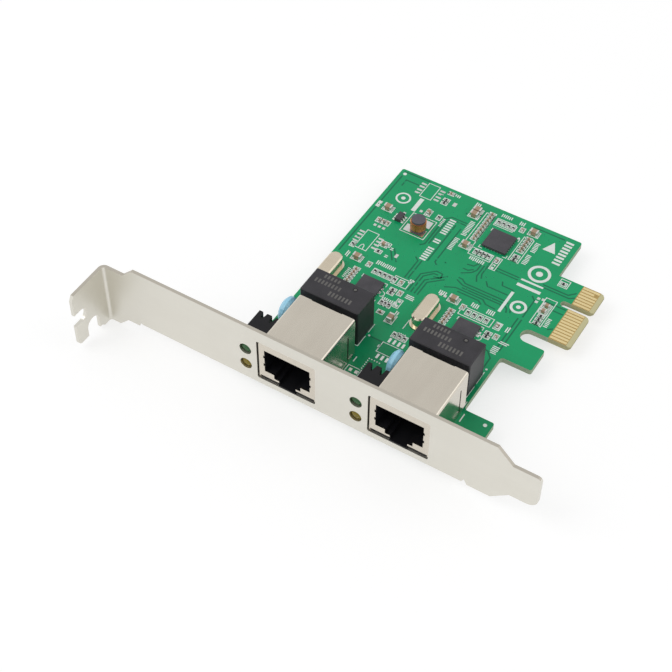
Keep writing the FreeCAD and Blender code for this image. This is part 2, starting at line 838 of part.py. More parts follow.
def build_jack(number, middle):
    """One shielded socket: folded can, moulded insert, spring wires and solder tails."""
    can = Body(f"jack_shield_{number}", middle)
    can.add("XY", 0.0, d.jack_tall, rectangle(-HALF_JACK, HALF_JACK, d.jack_front, d.jack_rear))
    can.round(d.jack_fold, lambda at, run, edge: near(at.z, d.jack_tall) and along(run, "Y"))
    can.cut("YZ", -d.rear_step_width / 2.0, d.rear_step_width, rectangle(
        d.jack_rear - d.rear_step_deep * 0.8, d.jack_rear + 0.5,
        d.jack_tall - d.rear_step_deep * 0.8, d.jack_tall + 0.5))
    inner = HALF_JACK - d.jack_wall
    can.cut("XY", -1.0, d.jack_tall - d.jack_wall + 1.0,
            rectangle(-inner, inner, d.jack_front + d.jack_wall, d.jack_rear - d.jack_wall))
    mouth = d.mouth_width / 2.0
    step = d.step_width / 2.0
    latch = d.latch_width / 2.0
    can.cut("XZ", d.jack_front - 0.5, d.jack_wall + 0.6, outline(
        (-mouth, d.mouth_top), (mouth, d.mouth_top),
        (mouth, d.nick_high + d.nick_tall), (mouth + d.nick_depth, d.nick_high + d.nick_tall),
        (mouth + d.nick_depth, d.nick_high), (mouth, d.nick_high),
        (mouth, d.nick_low + d.nick_tall), (mouth + d.nick_depth, d.nick_low + d.nick_tall),
        (mouth + d.nick_depth, d.nick_low), (mouth, d.nick_low),
        (mouth, d.mouth_bottom), (step, d.mouth_bottom), (step, d.step_bottom),
        (latch, d.step_bottom), (latch, d.front_lower_edge), (inner, d.front_lower_edge),
        (inner, -0.5), (-inner, -0.5), (-inner, d.front_lower_edge),
        (-latch, d.front_lower_edge), (-latch, d.step_bottom),
        (-step, d.step_bottom), (-step, d.mouth_bottom), (-mouth, d.mouth_bottom),
        (-mouth, d.nick_low), (-mouth - d.nick_depth, d.nick_low),
        (-mouth - d.nick_depth, d.nick_low + d.nick_tall), (-mouth, d.nick_low + d.nick_tall),
        (-mouth, d.nick_high), (-mouth - d.nick_depth, d.nick_high),
        (-mouth - d.nick_depth, d.nick_high + d.nick_tall), (-mouth, d.nick_high + d.nick_tall),
    ))
    seam = d.jack_rear - d.seam_setback
    can.cut("YZ", -HALF_JACK - 0.5, d.jack_width + 1.0,
            rectangle(seam - d.seam_width / 2.0, seam + d.seam_width / 2.0,
                      d.seam_bottom, d.seam_top),
            outline((d.jack_rear + 0.5, -0.5), (d.jack_rear - d.rear_notch_run, -0.5),
                    (d.jack_rear - d.rear_notch_run, d.rear_notch_tall),
                    (d.jack_rear + 0.5, d.rear_notch_tall)))
    behind_panel = d.sheet + d.jack_fit
    can.cut("YZ", -HALF_JACK - 0.5, d.jack_width + 1.0,
            rectangle(d.jack_front - 0.5, behind_panel, -0.5, d.window_bottom + d.window_corner))
    for side in (-1.0, 1.0):
        wall = side * (HALF_JACK - d.jack_wall / 2.0)
        half = d.jack_wall / 2.0
        tab = d.board_thick + d.lock_reach
        can.add("XY", -tab, tab + 0.2,
                rectangle(wall - half, wall + half,
                          LOCK_PLACE - d.lock_width / 2.0, LOCK_PLACE + d.lock_width / 2.0))

    insert = Body(f"jack_housing_{number}", middle)
    half = inner - d.jack_fit
    front = d.jack_front + d.jack_wall + d.jack_fit
    rear = d.jack_rear - d.jack_wall - d.jack_fit
    top = d.jack_tall - d.jack_wall - d.jack_fit
    insert.add("XY", 0.0, top, rectangle(-half, half, front, rear))
    fold = d.jack_fold
    insert.bevel(fold * 0.6, lambda at, run, edge: near(at.z, top) and along(run, "Y"))
    insert.cut("XZ", front - 0.5, d.mouth_depth + 0.5, outline(
        (-mouth, d.mouth_top), (mouth, d.mouth_top), (mouth, d.mouth_bottom),
        (step, d.mouth_bottom), (step, d.step_bottom), (latch, d.step_bottom),
        (latch, d.latch_bottom), (-latch, d.latch_bottom), (-latch, d.step_bottom),
        (-step, d.step_bottom), (-step, d.mouth_bottom), (-mouth, d.mouth_bottom)))
    sill = d.window_bottom + d.jack_fit
    insert.cut("YZ", -half, half * 2.0, rectangle(front - 0.5, behind_panel, -0.5, sill))
    insert.add("XZ", d.sill_setback, front + 0.2 - d.sill_setback,
               rectangle(-latch, latch, sill, d.latch_bottom))
    for side in (-1.0, 1.0):
        insert.add("XY", -(d.board_thick + d.peg_reach), d.board_thick + d.peg_reach + 0.2,
                   circle(d.peg_spread * (side / 2.0), PEG_PLACE, d.peg_diameter / 2.0))

    wires = Body(f"jack_contacts_{number}", middle)
    start = -(d.wire_pitch * ((JACK_WIRES - 1) / 2.0)) - d.wire_width / 2.0
    roof = d.mouth_top
    thick = d.wire_thick
    back = front + d.wire_rear
    spring = wires.add("YZ", start, d.wire_width, outline(
        (front + d.wire_front, roof), (front + d.wire_front, roof - thick),
        (front + d.wire_front + 1.0, roof - thick), (back, d.wire_tip),
        (back + 0.9, d.wire_tip + 0.2), (front + d.mouth_depth, d.wire_tip + 0.2),
        (front + d.mouth_depth, d.wire_tip + 0.2 + thick), (back + 0.8, d.wire_tip + 0.2 + thick),
        (back, d.wire_tip + thick), (front + d.wire_front + 1.1, roof)))
    wires.repeat(spring, "X", d.wire_pitch, JACK_WIRES)

    pins = Group(f"jack_pins_{number}", middle)
    half_pin = d.tail_pin / 2.0
    for index in range(JACK_WIRES):
        row = index % 2
        across = d.tail_pin_stagger * (index - (JACK_WIRES - 1) / 2.0)
        deep = d.jack_front + d.tail_pin_first_row + d.tail_pin_row_gap * float(row)
        pins.box(across - half_pin, across + half_pin, deep - half_pin, deep + half_pin,
                 BOARD_FOOT - d.pin_reach, BOARD_FOOT)
    pins.close()


def build_indicators(number, middle):
    """A two-storey lamp holder with its lamps and bent leads."""
    centre = middle - d.led_offset
    front = d.sheet + d.holder_gap
    rear = front + d.holder_depth
    half = d.holder_width / 2.0
    spread = d.lead_spread / 2.0
    mouth = d.lead_groove_mouth / 2.0
    floor = d.lead_groove_floor / 2.0
    deep = rear - d.lead_groove_deep
    holder = Body(f"led_holder_{number}", centre)
    holder.add("XY", 0.0, d.holder_tall, outline(
        (-half, front), (half, front), (half, rear), (spread + mouth, rear),
        (spread + floor, deep), (spread - floor, deep), (spread - mouth, rear),
        (mouth - spread, rear), (floor - spread, deep), (-spread - floor, deep),
        (-spread - mouth, rear), (-half, rear)))
    bore = d.led_lens / 2.0 + d.led_fit
    holder.cut("XZ", front - 0.5, d.led_length + 0.5 + d.led_setback,
               circle(0.0, d.led_high, bore), circle(0.0, d.led_low, bore))
    for colour, level in (("green", d.led_high), ("yellow", d.led_low)):
        lamp = Body(f"led_{colour}_{number}", centre, 0.0, level)
        radius = d.led_lens / 2.0
        tip = front + d.led_setback
        lamp.turn("YZ", 0.0, outline(
            (tip, 0.0), (tip, radius), (tip + d.led_length, radius), (tip + d.led_length, 0.0)),
            "H_Axis")
    leads = Group(f"led_leads_{number}", centre)
    wire = d.lead_wire / 2.0
    for side in (-1.0, 1.0):
        across = spread * side
        for place_y, level in ((deep + wire + 0.02, d.led_low), (rear - wire * 2.0, d.led_high)):
            leads.box(across - wire, across + wire, place_y - wire, place_y + wire,
                      0.0, level + wire)
            leads.box(across - wire, across + wire, place_y - wire, place_y + wire,
                      BOARD_FOOT - d.pin_reach, BOARD_FOOT)
        leads.box(across - wire, across + wire, deep, rear - wire * 3.0,
                  d.led_high - wire, d.led_high + wire)
    leads.close()


def build_magnetics(number, middle):
    """Moulded transformer module with two rows of through-hole pins."""
    centre = middle - d.magnetics_offset
    block = Body(f"magnetics_{number}", centre)
    half = d.magnetics_width / 2.0
    far = d.magnetics_near + d.magnetics_depth
    block.add("XY", 0.0, d.magnetics_tall, rectangle(-half, half, d.magnetics_near, far))
    block.bevel(d.magnetics_edge, lambda at, run, edge: near(at.z, d.magnetics_tall)
                or along(run, "Z"))
    block.cut("XY", d.magnetics_tall - d.dimple_deep, d.dimple_deep + 0.2,
              circle(half - d.dimple_inset, far - d.dimple_far_inset, d.magnetics_dimple / 2.0))
    pins = Group(f"magnetics_pins_{number}", centre)
    wire = d.tail_pin / 2.0
    for row in (-1.0, 1.0):
        deep = d.magnetics_near + d.magnetics_depth / 2.0 + d.magnetics_row_gap * (row / 2.0)
        for index in range(MAGNETICS_PINS):
            across = d.magnetics_pin_pitch * (index - (MAGNETICS_PINS - 1) / 2.0)
            pins.box(across - wire, across + wire, deep - wire, deep + wire,
                     BOARD_FOOT - d.pin_reach, BOARD_FOOT)
    pins.close()


def build_flat_chip(name, spot, side):
    """Leadless chip with a ring of solder lands that show around its foot."""
    x, y = on_board(*spot)
    half = side / 2.0
    body = Body(name, x, y)
    body.add("XY", d.chip_pad_thick, d.controller_tall - d.chip_pad_thick,
             rectangle(-half, half, -half, half))
    lands = Group(f"{name}_lands", x, y)
    inner = half + d.chip_pad_show - d.chip_pad_length
    outer = half + d.chip_pad_show
    land = d.chip_pad_width / 2.0
    for index in range(PADS_PER_SIDE):
        slide = d.chip_pad_pitch * (index - (PADS_PER_SIDE - 1) / 2.0)
        for sense in (-1.0, 1.0):
            near_end = sense * (inner if sense > 0 else outer)
            far_end = sense * (outer if sense > 0 else inner)
            lands.box(near_end, far_end, slide - land, slide + land, 0.0, d.chip_pad_thick)
            lands.box(slide - land, slide + land, near_end, far_end, 0.0, d.chip_pad_thick)
    lands.close()


def build_crystal(number, spot):
    """Metal-can crystal: drawn can on a rimmed base with two leads."""
    x, y = on_board(*spot)
    radius = d.crystal_width / 2.0
    run = (d.crystal_length - d.crystal_width) / 2.0
    base = Body(f"crystal_base_{number}", x, y)
    base.add("XY", 0.0, d.crystal_rim_tall, stadium(0.0, 0.0, run, radius + d.crystal_rim))
    can = Body(f"crystal_can_{number}", x, y)
    can.add("XY", d.crystal_rim_tall, d.crystal_tall - d.crystal_rim_tall,
            stadium(0.0, 0.0, run, radius))
    can.bevel(d.crystal_round, lambda at, run_, edge: near(at.z, d.crystal_tall))
    leads = Group(f"crystal_leads_{number}", x, y)
    wire = d.lead_wire / 2.0
    for side in (-1.0, 1.0):
        slide = d.crystal_lead_pitch * (side / 2.0)
        leads.box(-wire, wire, slide - wire, slide + wire, BOARD_FOOT - d.pin_reach, BOARD_FOOT)
    leads.close()


def build_disc(number, middle):
    """Dipped disc capacitor that stands on two leads."""
    offset, setback = DISC_PLACES[number - 1]
    x = middle - offset
    radius = d.disc_diameter / 2.0
    half = d.disc_thick / 2.0
    disc = Body(f"blue_capacitor_{number}", x, setback, d.disc_lift + radius)
    turns = [2.0 * math.pi * (index + 0.5) / DISC_FLATS for index in range(DISC_FLATS)]
    disc.add("YZ", -half, d.disc_thick, outline(
        *((radius * math.cos(turn), radius * math.sin(turn)) for turn in turns)))
    disc.bevel(d.disc_round, lambda at, run, edge: near(at.x, half) or near(at.x, -half))
    leads = Group(f"capacitor_leads_{number}", x, setback)
    wire = d.lead_wire / 2.0
    slide = d.disc_lead_pitch / 2.0
    for sense in (-1.0, 1.0):
        leads.box(-wire, wire, sense * slide - wire, sense * slide + wire,
                  0.0, d.disc_lead_tall)
        leads.box(-wire, wire, sense * slide - wire, sense * slide + wire,
                  BOARD_FOOT - d.pin_reach, BOARD_FOOT)
    leads.close()


def build_supply():
    """Drum-core inductor with its winding, and a small regulator on bent leads."""
    x, y = on_board(*INDUCTOR)
    rim = d.drum_diameter / 2.0
    neck = d.drum_neck / 2.0
    shoulder = d.drum_tall - d.drum_flange
    core = Body("inductor_core", x, y)
    core.turn("XZ", 0.0, outline(
        (0.0, 0.0), (rim, 0.0), (rim, d.drum_flange), (neck, d.drum_flange), (neck, shoulder),
        (rim, shoulder), (rim, d.drum_tall), (0.0, d.drum_tall)))
    coil = Body("inductor_winding", x, y)
    inner = neck + d.winding_fit
    outer = d.winding_diameter / 2.0
    low = d.drum_flange + d.winding_fit
    high = shoulder - d.winding_fit
    coil.turn("XZ", 0.0, outline((inner, low), (outer, low), (outer, high), (inner, high)))

    x, y = on_board(*REGULATOR)
    half = d.regulator_width / 2.0
    long_half = d.regulator_length / 2.0
    body = Body("voltage_regulator", x, y)
    body.add("XY", d.regulator_lift, d.regulator_tall - d.regulator_lift,
             rectangle(-half, half, -long_half, long_half))
    body.bevel(d.regulator_lift, lambda at, run, edge: near(at.z, d.regulator_tall))
    thick = d.regulator_lead_thick
    middle = d.regulator_tall / 2.0
    width = d.regulator_lead_width
    reach = d.regulator_lead_reach
    for name, sense in (("regulator_leads_right", 1.0), ("regulator_leads_left", -1.0)):
        leads = Body(name, x, y)
        lead = leads.add("XZ", -(d.regulator_lead_pitch + width / 2.0), width, outline(
            (sense * half, middle), (sense * (half + thick), middle),
            (sense * (half + thick * 2.0), thick), (sense * (half + reach), thick),
            (sense * (half + reach), 0.0), (sense * (half + thick), 0.0),
            (sense * (half + thick * 0.3), middle - thick), (sense * half, middle - thick)))
        leads.repeat(lead, "Y", d.regulator_lead_pitch, 3)


def build_chips():
    """Rows of chip resistors and capacitors, the larger ones each between two metal ends."""
    kinds = {
        "resistor": (d.small_length, d.small_width, d.resistor_tall, 0.0),
        "capacitor": (d.small_length, d.small_width, d.capacitor_tall, 0.0),
        "medium": (d.medium_length, d.medium_width, d.medium_width, d.medium_end),
        "large": (d.large_length, d.large_width, d.large_tall, d.large_end),
    }
    groups = {
        "resistor": Group("chip_resistors"),
        "capacitor": Group("chip_capacitors"),
        "medium": Group("medium_chip_capacitors"),
        "large": Group("large_chip_capacitors"),
    }
    ends = Group("chip_end_caps")
    rows = [(row, Size.of(0.0)) for row in CHIP_ROWS]
    rows += [(row, d.key_middle) for row in TAB_ROWS]
    for (kind, u, v, step_u, step_v, count, along_x), datum in rows:
        length, width, tall, end = kinds[kind]
        for index in range(count):
            x, y = on_board(u + step_u * index, v + step_v * index)
            y = y + datum
            half, cap, side = length / 2.0, length / 2.0 - end, width / 2.0
            spans = [(-cap, cap, groups[kind])]
            if end:
                spans += [(-half, -cap, ends), (cap, half, ends)]
            for low, high, group in spans:
                if along_x:
                    group.box(x + low, x + high, y - side, y + side, 0.0, tall)
                else:
                    group.box(x - side, x + side, y + low, y + high, 0.0, tall)
    for group in groups.values():
        group.close()
    ends.close()


def check_and_write():
    """Checks every object and every sub-part, then writes each sub-part to its own file."""
    doc.recompute()
    for item in doc.Objects:
        if "Invalid" in item.State or "Error" in item.State:
            raise RuntimeError(f"{item.Label} failed: {item.State}")
    os.makedirs("parts", exist_ok=True)
    for piece in pieces:
        shape = piece.Shape
        if shape.isNull() or not shape.isValid() or not shape.Solids:
            raise RuntimeError(f"{piece.Label} has no valid shape")
        shape.exportStep(f"parts/{piece.Label}.step")
        box = shape.BoundBox
        print(f"{piece.Label}: {len(shape.Solids)} solids, "
              f"{box.XLength:.2f} x {box.YLength:.2f} x {box.ZLength:.2f}")


build_bracket()
build_board()
build_edge_contacts()
build_screws()
for jack_number, jack_middle in enumerate(JACK_CENTRES, start=1):
    build_jack(jack_number, jack_middle)
    build_indicators(jack_number, jack_middle)
    build_magnetics(jack_number, jack_middle)
    build_disc(jack_number, jack_middle)
for chip_number, chip_spot in enumerate(CONTROLLERS, start=1):
    build_flat_chip(f"lan_controller_{chip_number}", chip_spot, d.controller_side)
build_flat_chip("switch_chip", SWITCH, d.switch_side)
for crystal_number, crystal_spot in enumerate(CRYSTALS, start=1):
    build_crystal(crystal_number, crystal_spot)
build_supply()
build_chips()
check_and_write()
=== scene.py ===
"""Looks of a two-socket network interface card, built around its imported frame."""

import logging
import math
import random
from dataclasses import dataclass, field
from enum import Enum
from typing import Iterable, Iterator, Sequence

import bmesh
import bpy
from mathutils import Matrix, Vector


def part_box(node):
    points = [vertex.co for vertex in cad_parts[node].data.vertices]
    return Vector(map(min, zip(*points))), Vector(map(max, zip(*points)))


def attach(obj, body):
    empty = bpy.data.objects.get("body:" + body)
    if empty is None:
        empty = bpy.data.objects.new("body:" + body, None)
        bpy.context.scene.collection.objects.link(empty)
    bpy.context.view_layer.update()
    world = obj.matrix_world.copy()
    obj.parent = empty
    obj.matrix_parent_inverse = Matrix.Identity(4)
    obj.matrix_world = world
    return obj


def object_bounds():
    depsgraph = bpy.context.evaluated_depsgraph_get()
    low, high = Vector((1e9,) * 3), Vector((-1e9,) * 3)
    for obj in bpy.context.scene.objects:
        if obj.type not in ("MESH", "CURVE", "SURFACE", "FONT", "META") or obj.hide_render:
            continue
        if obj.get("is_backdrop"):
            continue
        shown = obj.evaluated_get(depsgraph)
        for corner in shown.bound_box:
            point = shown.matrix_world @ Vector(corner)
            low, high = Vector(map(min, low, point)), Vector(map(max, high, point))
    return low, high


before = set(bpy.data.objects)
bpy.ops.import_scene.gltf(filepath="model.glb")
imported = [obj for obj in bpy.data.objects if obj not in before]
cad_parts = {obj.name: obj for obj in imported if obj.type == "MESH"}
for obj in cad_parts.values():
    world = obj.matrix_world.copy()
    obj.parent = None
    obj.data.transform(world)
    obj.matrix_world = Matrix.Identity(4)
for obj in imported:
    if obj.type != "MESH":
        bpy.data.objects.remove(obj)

LOG = logging.getLogger("card")
MM = 0.001
TOUCH = 0.01 * MM
Colour = tuple[float, float, float]
Triple = tuple[float, float, float]
Spot = tuple[float, float]
Area = tuple[float, float, float, float]
Run = tuple[Spot, ...]
Box = tuple[Vector, Vector]
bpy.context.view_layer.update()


class Flow:
    """A shader value that adds its maths nodes from plain expressions."""

    def __init__(self, maker: "Maker", socket: bpy.types.NodeSocket) -> None:
        """Wraps one output socket and keeps the maker that adds its nodes."""
        self.maker = maker
        self.socket = socket

    def _math(self, operation: str, *values: "Flow | float", clamp: bool = False) -> "Flow":
        """Adds one Math node.

        Args:
            operation: The node's operation.
            values: Its inputs in order.
            clamp: Whether the result is held between 0 and 1.

        Returns:
            The node's result.
        """
        settings = {"operation": operation, "use_clamp": clamp}
        node = self.maker.node("ShaderNodeMath", settings, dict(enumerate(values)))
        return Flow(self.maker, node.outputs[0])

    def __add__(self, other: "Flow | float") -> "Flow":
        """Returns the sum."""
        return self._math("ADD", self, other)

    def __sub__(self, other: "Flow | float") -> "Flow":
        """Returns the difference."""
        return self._math("SUBTRACT", self, other)

    def __mul__(self, other: "Flow | float") -> "Flow":
        """Returns the product."""
        return self._math("MULTIPLY", self, other)

    def __radd__(self, other: float) -> "Flow":
        """Returns the sum with a number on the left."""
        return self._math("ADD", other, self)

    def __rsub__(self, other: float) -> "Flow":
        """Returns the difference from a number."""
        return self._math("SUBTRACT", other, self)

    def __rmul__(self, other: float) -> "Flow":
        """Returns the product with a number on the left."""
        return self._math("MULTIPLY", other, self)

    def __gt__(self, other: "Flow | float") -> "Flow":
        """Returns 1 where this value is the greater."""
        return self._math("GREATER_THAN", self, other)

    def __lt__(self, other: "Flow | float") -> "Flow":
        """Returns 1 where this value is the smaller."""
        return self._math("LESS_THAN", self, other)

    def __abs__(self) -> "Flow":
        """Returns the size without its sign."""
        return self._math("ABSOLUTE", self)

    def sine(self) -> "Flow":
        """Returns the sine of the value in radians."""
        return self._math("SINE", self)

    def between(self, low: float, high: float) -> "Flow":
        """Returns a clamped ramp from 0 at low to 1 at high."""
        span = 1.0 / (high - low)
        return self._math("MULTIPLY_ADD", self, span, -low * span, clamp=True)


class Maker:
    """Adds nodes to the node tree of a material or a world."""

    def __init__(self, owner: bpy.types.ID) -> None:
        """Empties the owner's tree.

        Args:
            owner: The material or world.
        """
        owner.use_nodes = True
        self.tree = owner.node_tree
        self.tree.nodes.clear()

    def node(self, kind: str, settings: dict[str, object] | None = None,
             inputs: dict[object, object] | None = None) -> bpy.types.Node:
        """Adds a node, sets its options and then its sockets.

        Args:
            kind: The node's type.
            settings: Properties of the node itself.
            inputs: Values or links by socket name or number.

        Returns:
            The new node.
        """
        made = self.tree.nodes.new(kind)
        for key, value in (settings or {}).items():
            setattr(made, key, value)
        for key, value in (inputs or {}).items():
            self.feed(made.inputs[key], value)
        return made

    def feed(self, socket: bpy.types.NodeSocket, value: object) -> None:
        """Sets a socket to a value or links a flow to it.

        Args:
            socket: The input to fill.
            value: A number, a colour or a flow.
        """
        if isinstance(value, Flow):
            self.tree.links.new(value.socket, socket)
        elif isinstance(value, tuple) and len(value) == 3 and socket.type == "RGBA":
            socket.default_value = (*value, 1.0)
        else:
            socket.default_value = value

    def flow(self, kind: str, output: object = 0, settings: dict[str, object] | None = None,
             inputs: dict[object, object] | None = None) -> Flow:
        """Adds a node and returns one of its outputs, by name or number, as a flow."""
        return Flow(self, self.node(kind, settings, inputs).outputs[output])

    def place(self) -> Flow:
        """Returns the object coordinates, which are the card's own frame."""
        return self.flow("ShaderNodeTexCoord", "Object")

    def axis(self, vector: Flow, letter: str) -> Flow:
        """Returns one component of a vector."""
        return self.flow("ShaderNodeSeparateXYZ", letter, inputs={0: vector})

    def upward(self) -> Flow:
        """Returns how far the surface faces up, from -1 to 1."""
        return self.axis(self.flow("ShaderNodeNewGeometry", "Normal"), "Z")

    def stretched(self, scale: Triple) -> Flow:
        """Returns the object coordinates stretched along each axis."""
        return self.flow("ShaderNodeMapping", 0, inputs={"Vector": self.place(), "Scale": scale})

    def noise(self, scale: float, detail: float = 3.0, vector: Flow | None = None) -> Flow:
        """Returns a noise about 0.5 with so many cells per metre and octaves of detail."""
        vector = vector or self.place()
        return self.flow("ShaderNodeTexNoise", 0,
                         inputs={"Vector": vector, "Scale": scale, "Detail": detail})

    def blend(self, amount: Flow | float, low: object, high: object) -> Flow:
        """Mixes two colours, where an amount of 0 gives the first and 1 the second."""
        return self.flow("ShaderNodeMix", 2, {"data_type": "RGBA"}, {0: amount, 6: low, 7: high})

    def bump(self, height: Flow, strength: float, distance: float) -> Flow:
        """Turns a height into a normal."""
        return self.flow("ShaderNodeBump", 0, inputs={
            "Height": height, "Strength": strength, "Distance": distance})

    def seen(self) -> Flow:
        """Returns 1 for the rays that see the white surroundings, and 0 for those that light."""
        path = self.node("ShaderNodeLightPath")
        rays = [Flow(self, path.outputs[name]) for name in
                ("Is Camera Ray", "Is Glossy Ray", "Is Transmission Ray")]
        return (rays[0] + rays[1] + rays[2]).between(0.0, 1.0)


class Surface(Maker):
    """Builds one node material around a Principled shader."""

    def __init__(self, name: str) -> None:
        """Starts a material of that name."""
        self.material = bpy.data.materials.new(name)
        super().__init__(self.material)

    def finish(self, **sockets: object) -> bpy.types.Material:
        """Adds the shader with its sockets filled and returns the material.

        Args:
            sockets: Socket names with underscores for blanks.

        Returns:
            The finished material.
        """
        named = {name.replace("_", " "): value for name, value in sockets.items()}
        shader = self.flow("ShaderNodeBsdfPrincipled", 0, inputs=named)
        self.node("ShaderNodeOutputMaterial", inputs={"Surface": shader})
        return self.material


@dataclass(frozen=True)
class PlatedMetal:
    """Nickel, zinc or tin plate with faint rolling streaks and handling marks."""

    name: str
    colour: Colour
    dull: Colour
    roughness: float = 0.3
    streak: Triple = (40.0, 900.0, 900.0)
    bump: float = 0.05
    uneven: float = 0.14
    cloud_scale: float = 90.0
    speck_scale: float = 2600.0
    relief: float = 0.04 * MM
    # Darker colour painted as shade on the sheared upper edges.
    top_edge_shade: Colour | None = None
    shade_above: float = 5.0 * MM
    shade_facing: float = 0.7
    cut_roughness: float = 0.15

    def build(self) -> bpy.types.Material:
        """Returns the material; if it has a top-edge shade colour, its sheared upper edges get that
        darker colour as painted shade.
        """
        maker = Surface(self.name)
        streaks = maker.noise(1.0, 4.0, maker.stretched(self.streak))
        clouds = maker.noise(self.cloud_scale, 3.0)
        specks = maker.noise(self.speck_scale, 1.0)
        mix = (streaks * 0.5 + clouds * 0.5).between(0.3, 0.7)
        rough = self.roughness + (streaks - 0.5) * self.uneven + (clouds - 0.5) * self.uneven
        colour = maker.blend(mix, self.dull, self.colour)
        if self.top_edge_shade:
            # Painted shade: upward faces above a set height, the bracket's top edge, take a darker
            # colour; the window floors below keep the plate's colour.
            shaded_top_edge = maker.upward() > self.shade_facing
            shaded_top_edge = shaded_top_edge * (maker.axis(maker.place(), "Z") > self.shade_above)
            colour = maker.blend(shaded_top_edge, colour, self.top_edge_shade)
            rough = rough + shaded_top_edge * self.cut_roughness
        return maker.finish(Base_Color=colour, Metallic=1.0, Roughness=rough,
                            Normal=maker.bump(streaks + specks * 0.4, self.bump, self.relief))


@dataclass(frozen=True)
class SolderMask:
    """Green lacquer over laminate, with bare fibre edges and an uncoated contact area."""

    name: str
    mask: Colour
    shade: Colour
    deep: Colour
    edge: Colour
    resin: Colour
    margin: Colour
    plane_from: float = 25.5 * MM
    behind_contacts: float = 0.2 * MM
    beside_contacts: float = 1.2 * MM
    beyond_contacts: float = 0.1 * MM
    fine: float = 1500.0
    coarse: float = 90.0
    cloud_scale: float = 70.0
    fibre_scale: float = 900.0
    roughness: float = 0.3
    edge_roughness: float = 0.4
    bare_roughness: float = 0.15
    bend: float = 1.36
    relief: float = 0.03 * MM

    def build(self) -> bpy.types.Material:
        """Returns the material."""
        maker = Surface(self.name)
        low, high = (Vector(corner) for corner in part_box("edge_contacts_top"))
        spot = maker.place()
        along, inward = maker.axis(spot, "X"), maker.axis(spot, "Y")
        facing = abs(maker.upward())
        side = 1.0 - facing.between(0.2, 0.4)
        level = facing.between(0.9, 0.97)
        weave = maker.noise(1.0, 2.0, maker.stretched((self.fine, self.coarse, self.coarse)))
        cross = maker.noise(1.0, 2.0, maker.stretched((self.coarse, self.fine, self.coarse)))
        clouds = maker.noise(self.cloud_scale, 3.0)
        fibre = (weave * 0.5 + maker.noise(self.fibre_scale) * 0.5).between(0.3, 0.7)
        mottle = (clouds * 0.6 + weave * 0.2 + cross * 0.2).between(0.35, 0.65)
        green = maker.blend(mottle, self.shade, self.mask)
        green = maker.blend(inward < self.plane_from, green, self.deep)
        bare = along > low.x - self.behind_contacts
        bare = bare * (inward > low.y - self.beside_contacts)
        bare = bare * (inward < high.y + self.beside_contacts)
        tip = bare * (1.0 - (along < high.x + self.beyond_contacts) * level)
        open_resin = maker.blend(fibre, self.resin, tuple(part * 0.7 for part in self.resin))
        layers = maker.blend(fibre, self.edge, tuple(part * 0.8 for part in self.edge))
        colour = maker.blend(bare, green, open_resin)
        colour = maker.blend(side, colour, layers)
        colour = maker.blend(tip, colour, self.margin)
        rough = self.roughness + side * self.edge_roughness + bare * self.bare_roughness
        return maker.finish(Base_Color=colour, Roughness=rough + (clouds - 0.5) * 0.1,
                            IOR=self.bend, Normal=maker.bump(weave + cross, 0.08, self.relief))


@dataclass(frozen=True)
class Moulded:
    """Moulded plastic, epoxy, ferrite, lacquer or fired ceramic with a fine grain."""

    name: str
    colour: Colour
    fleck: Colour
    roughness: float = 0.5
    grain: float = 3500.0
    bump: float = 0.12
    coat: float = 0.0
    bend: float = 1.45
    coat_roughness: float = 0.12
    relief: float = 0.03 * MM

    def build(self) -> bpy.types.Material:
        """Returns the material."""
        maker = Surface(self.name)
        grain = maker.noise(self.grain, 2.0)
        clouds = maker.noise(self.grain * 0.06, 3.0)
        flecks = (grain * 0.4 + clouds * 0.6).between(0.35, 0.7)
        return maker.finish(Base_Color=maker.blend(flecks, self.colour, self.fleck),
                            Roughness=self.roughness + (clouds - 0.5) * 0.15, IOR=self.bend,
                            Coat_Weight=self.coat, Coat_Roughness=self.coat_roughness,
                            Normal=maker.bump(grain, self.bump, self.relief))


@dataclass(frozen=True)
class TintedLens:
    """Tinted epoxy of an unlit lamp, deeper towards its tip."""

    name: str
    colour: Colour
    core: Colour
    tip: float = 1.2 * MM
    root: float = 4.2 * MM
    swirl_scale: float = 700.0
    roughness: float = 0.24
    bend: float = 1.36

    def build(self) -> bpy.types.Material:
        """Returns the material."""
        maker = Surface(self.name)
        depth = maker.axis(maker.place(), "Y").between(self.tip, self.root)
        swirl = maker.noise(self.swirl_scale, 2.0)
        colour = maker.blend(depth * 0.7 + swirl * 0.3, self.colour, self.core)
        return maker.finish(Base_Color=colour, Roughness=self.roughness + swirl * 0.06,
                            IOR=self.bend)


@dataclass(frozen=True)
class WoundWire:
    """Enamelled wire laid in close turns, with painted shade in the gaps between them."""

    name: str
    colour: Colour
    # Painted shade in the grooves between turns.
    gap: Colour
    turns: float
    metallic: float = 0.55
    roughness: float = 0.34
    bump: float = 0.6
    relief: float = 0.08 * MM

    def build(self) -> bpy.types.Material:
        """Returns the material."""
        maker = Surface(self.name)
        height = maker.axis(maker.place(), "Z")
        ridge = (height * self.turns).sine() * 0.5 + 0.5
        # The gap colour between the ridges is painted shade in the grooves.
        return maker.finish(Base_Color=maker.blend(ridge, self.gap, self.colour),
                            Metallic=self.metallic, Roughness=self.roughness - ridge * 0.1,
                            Normal=maker.bump(ridge, self.bump, self.relief))


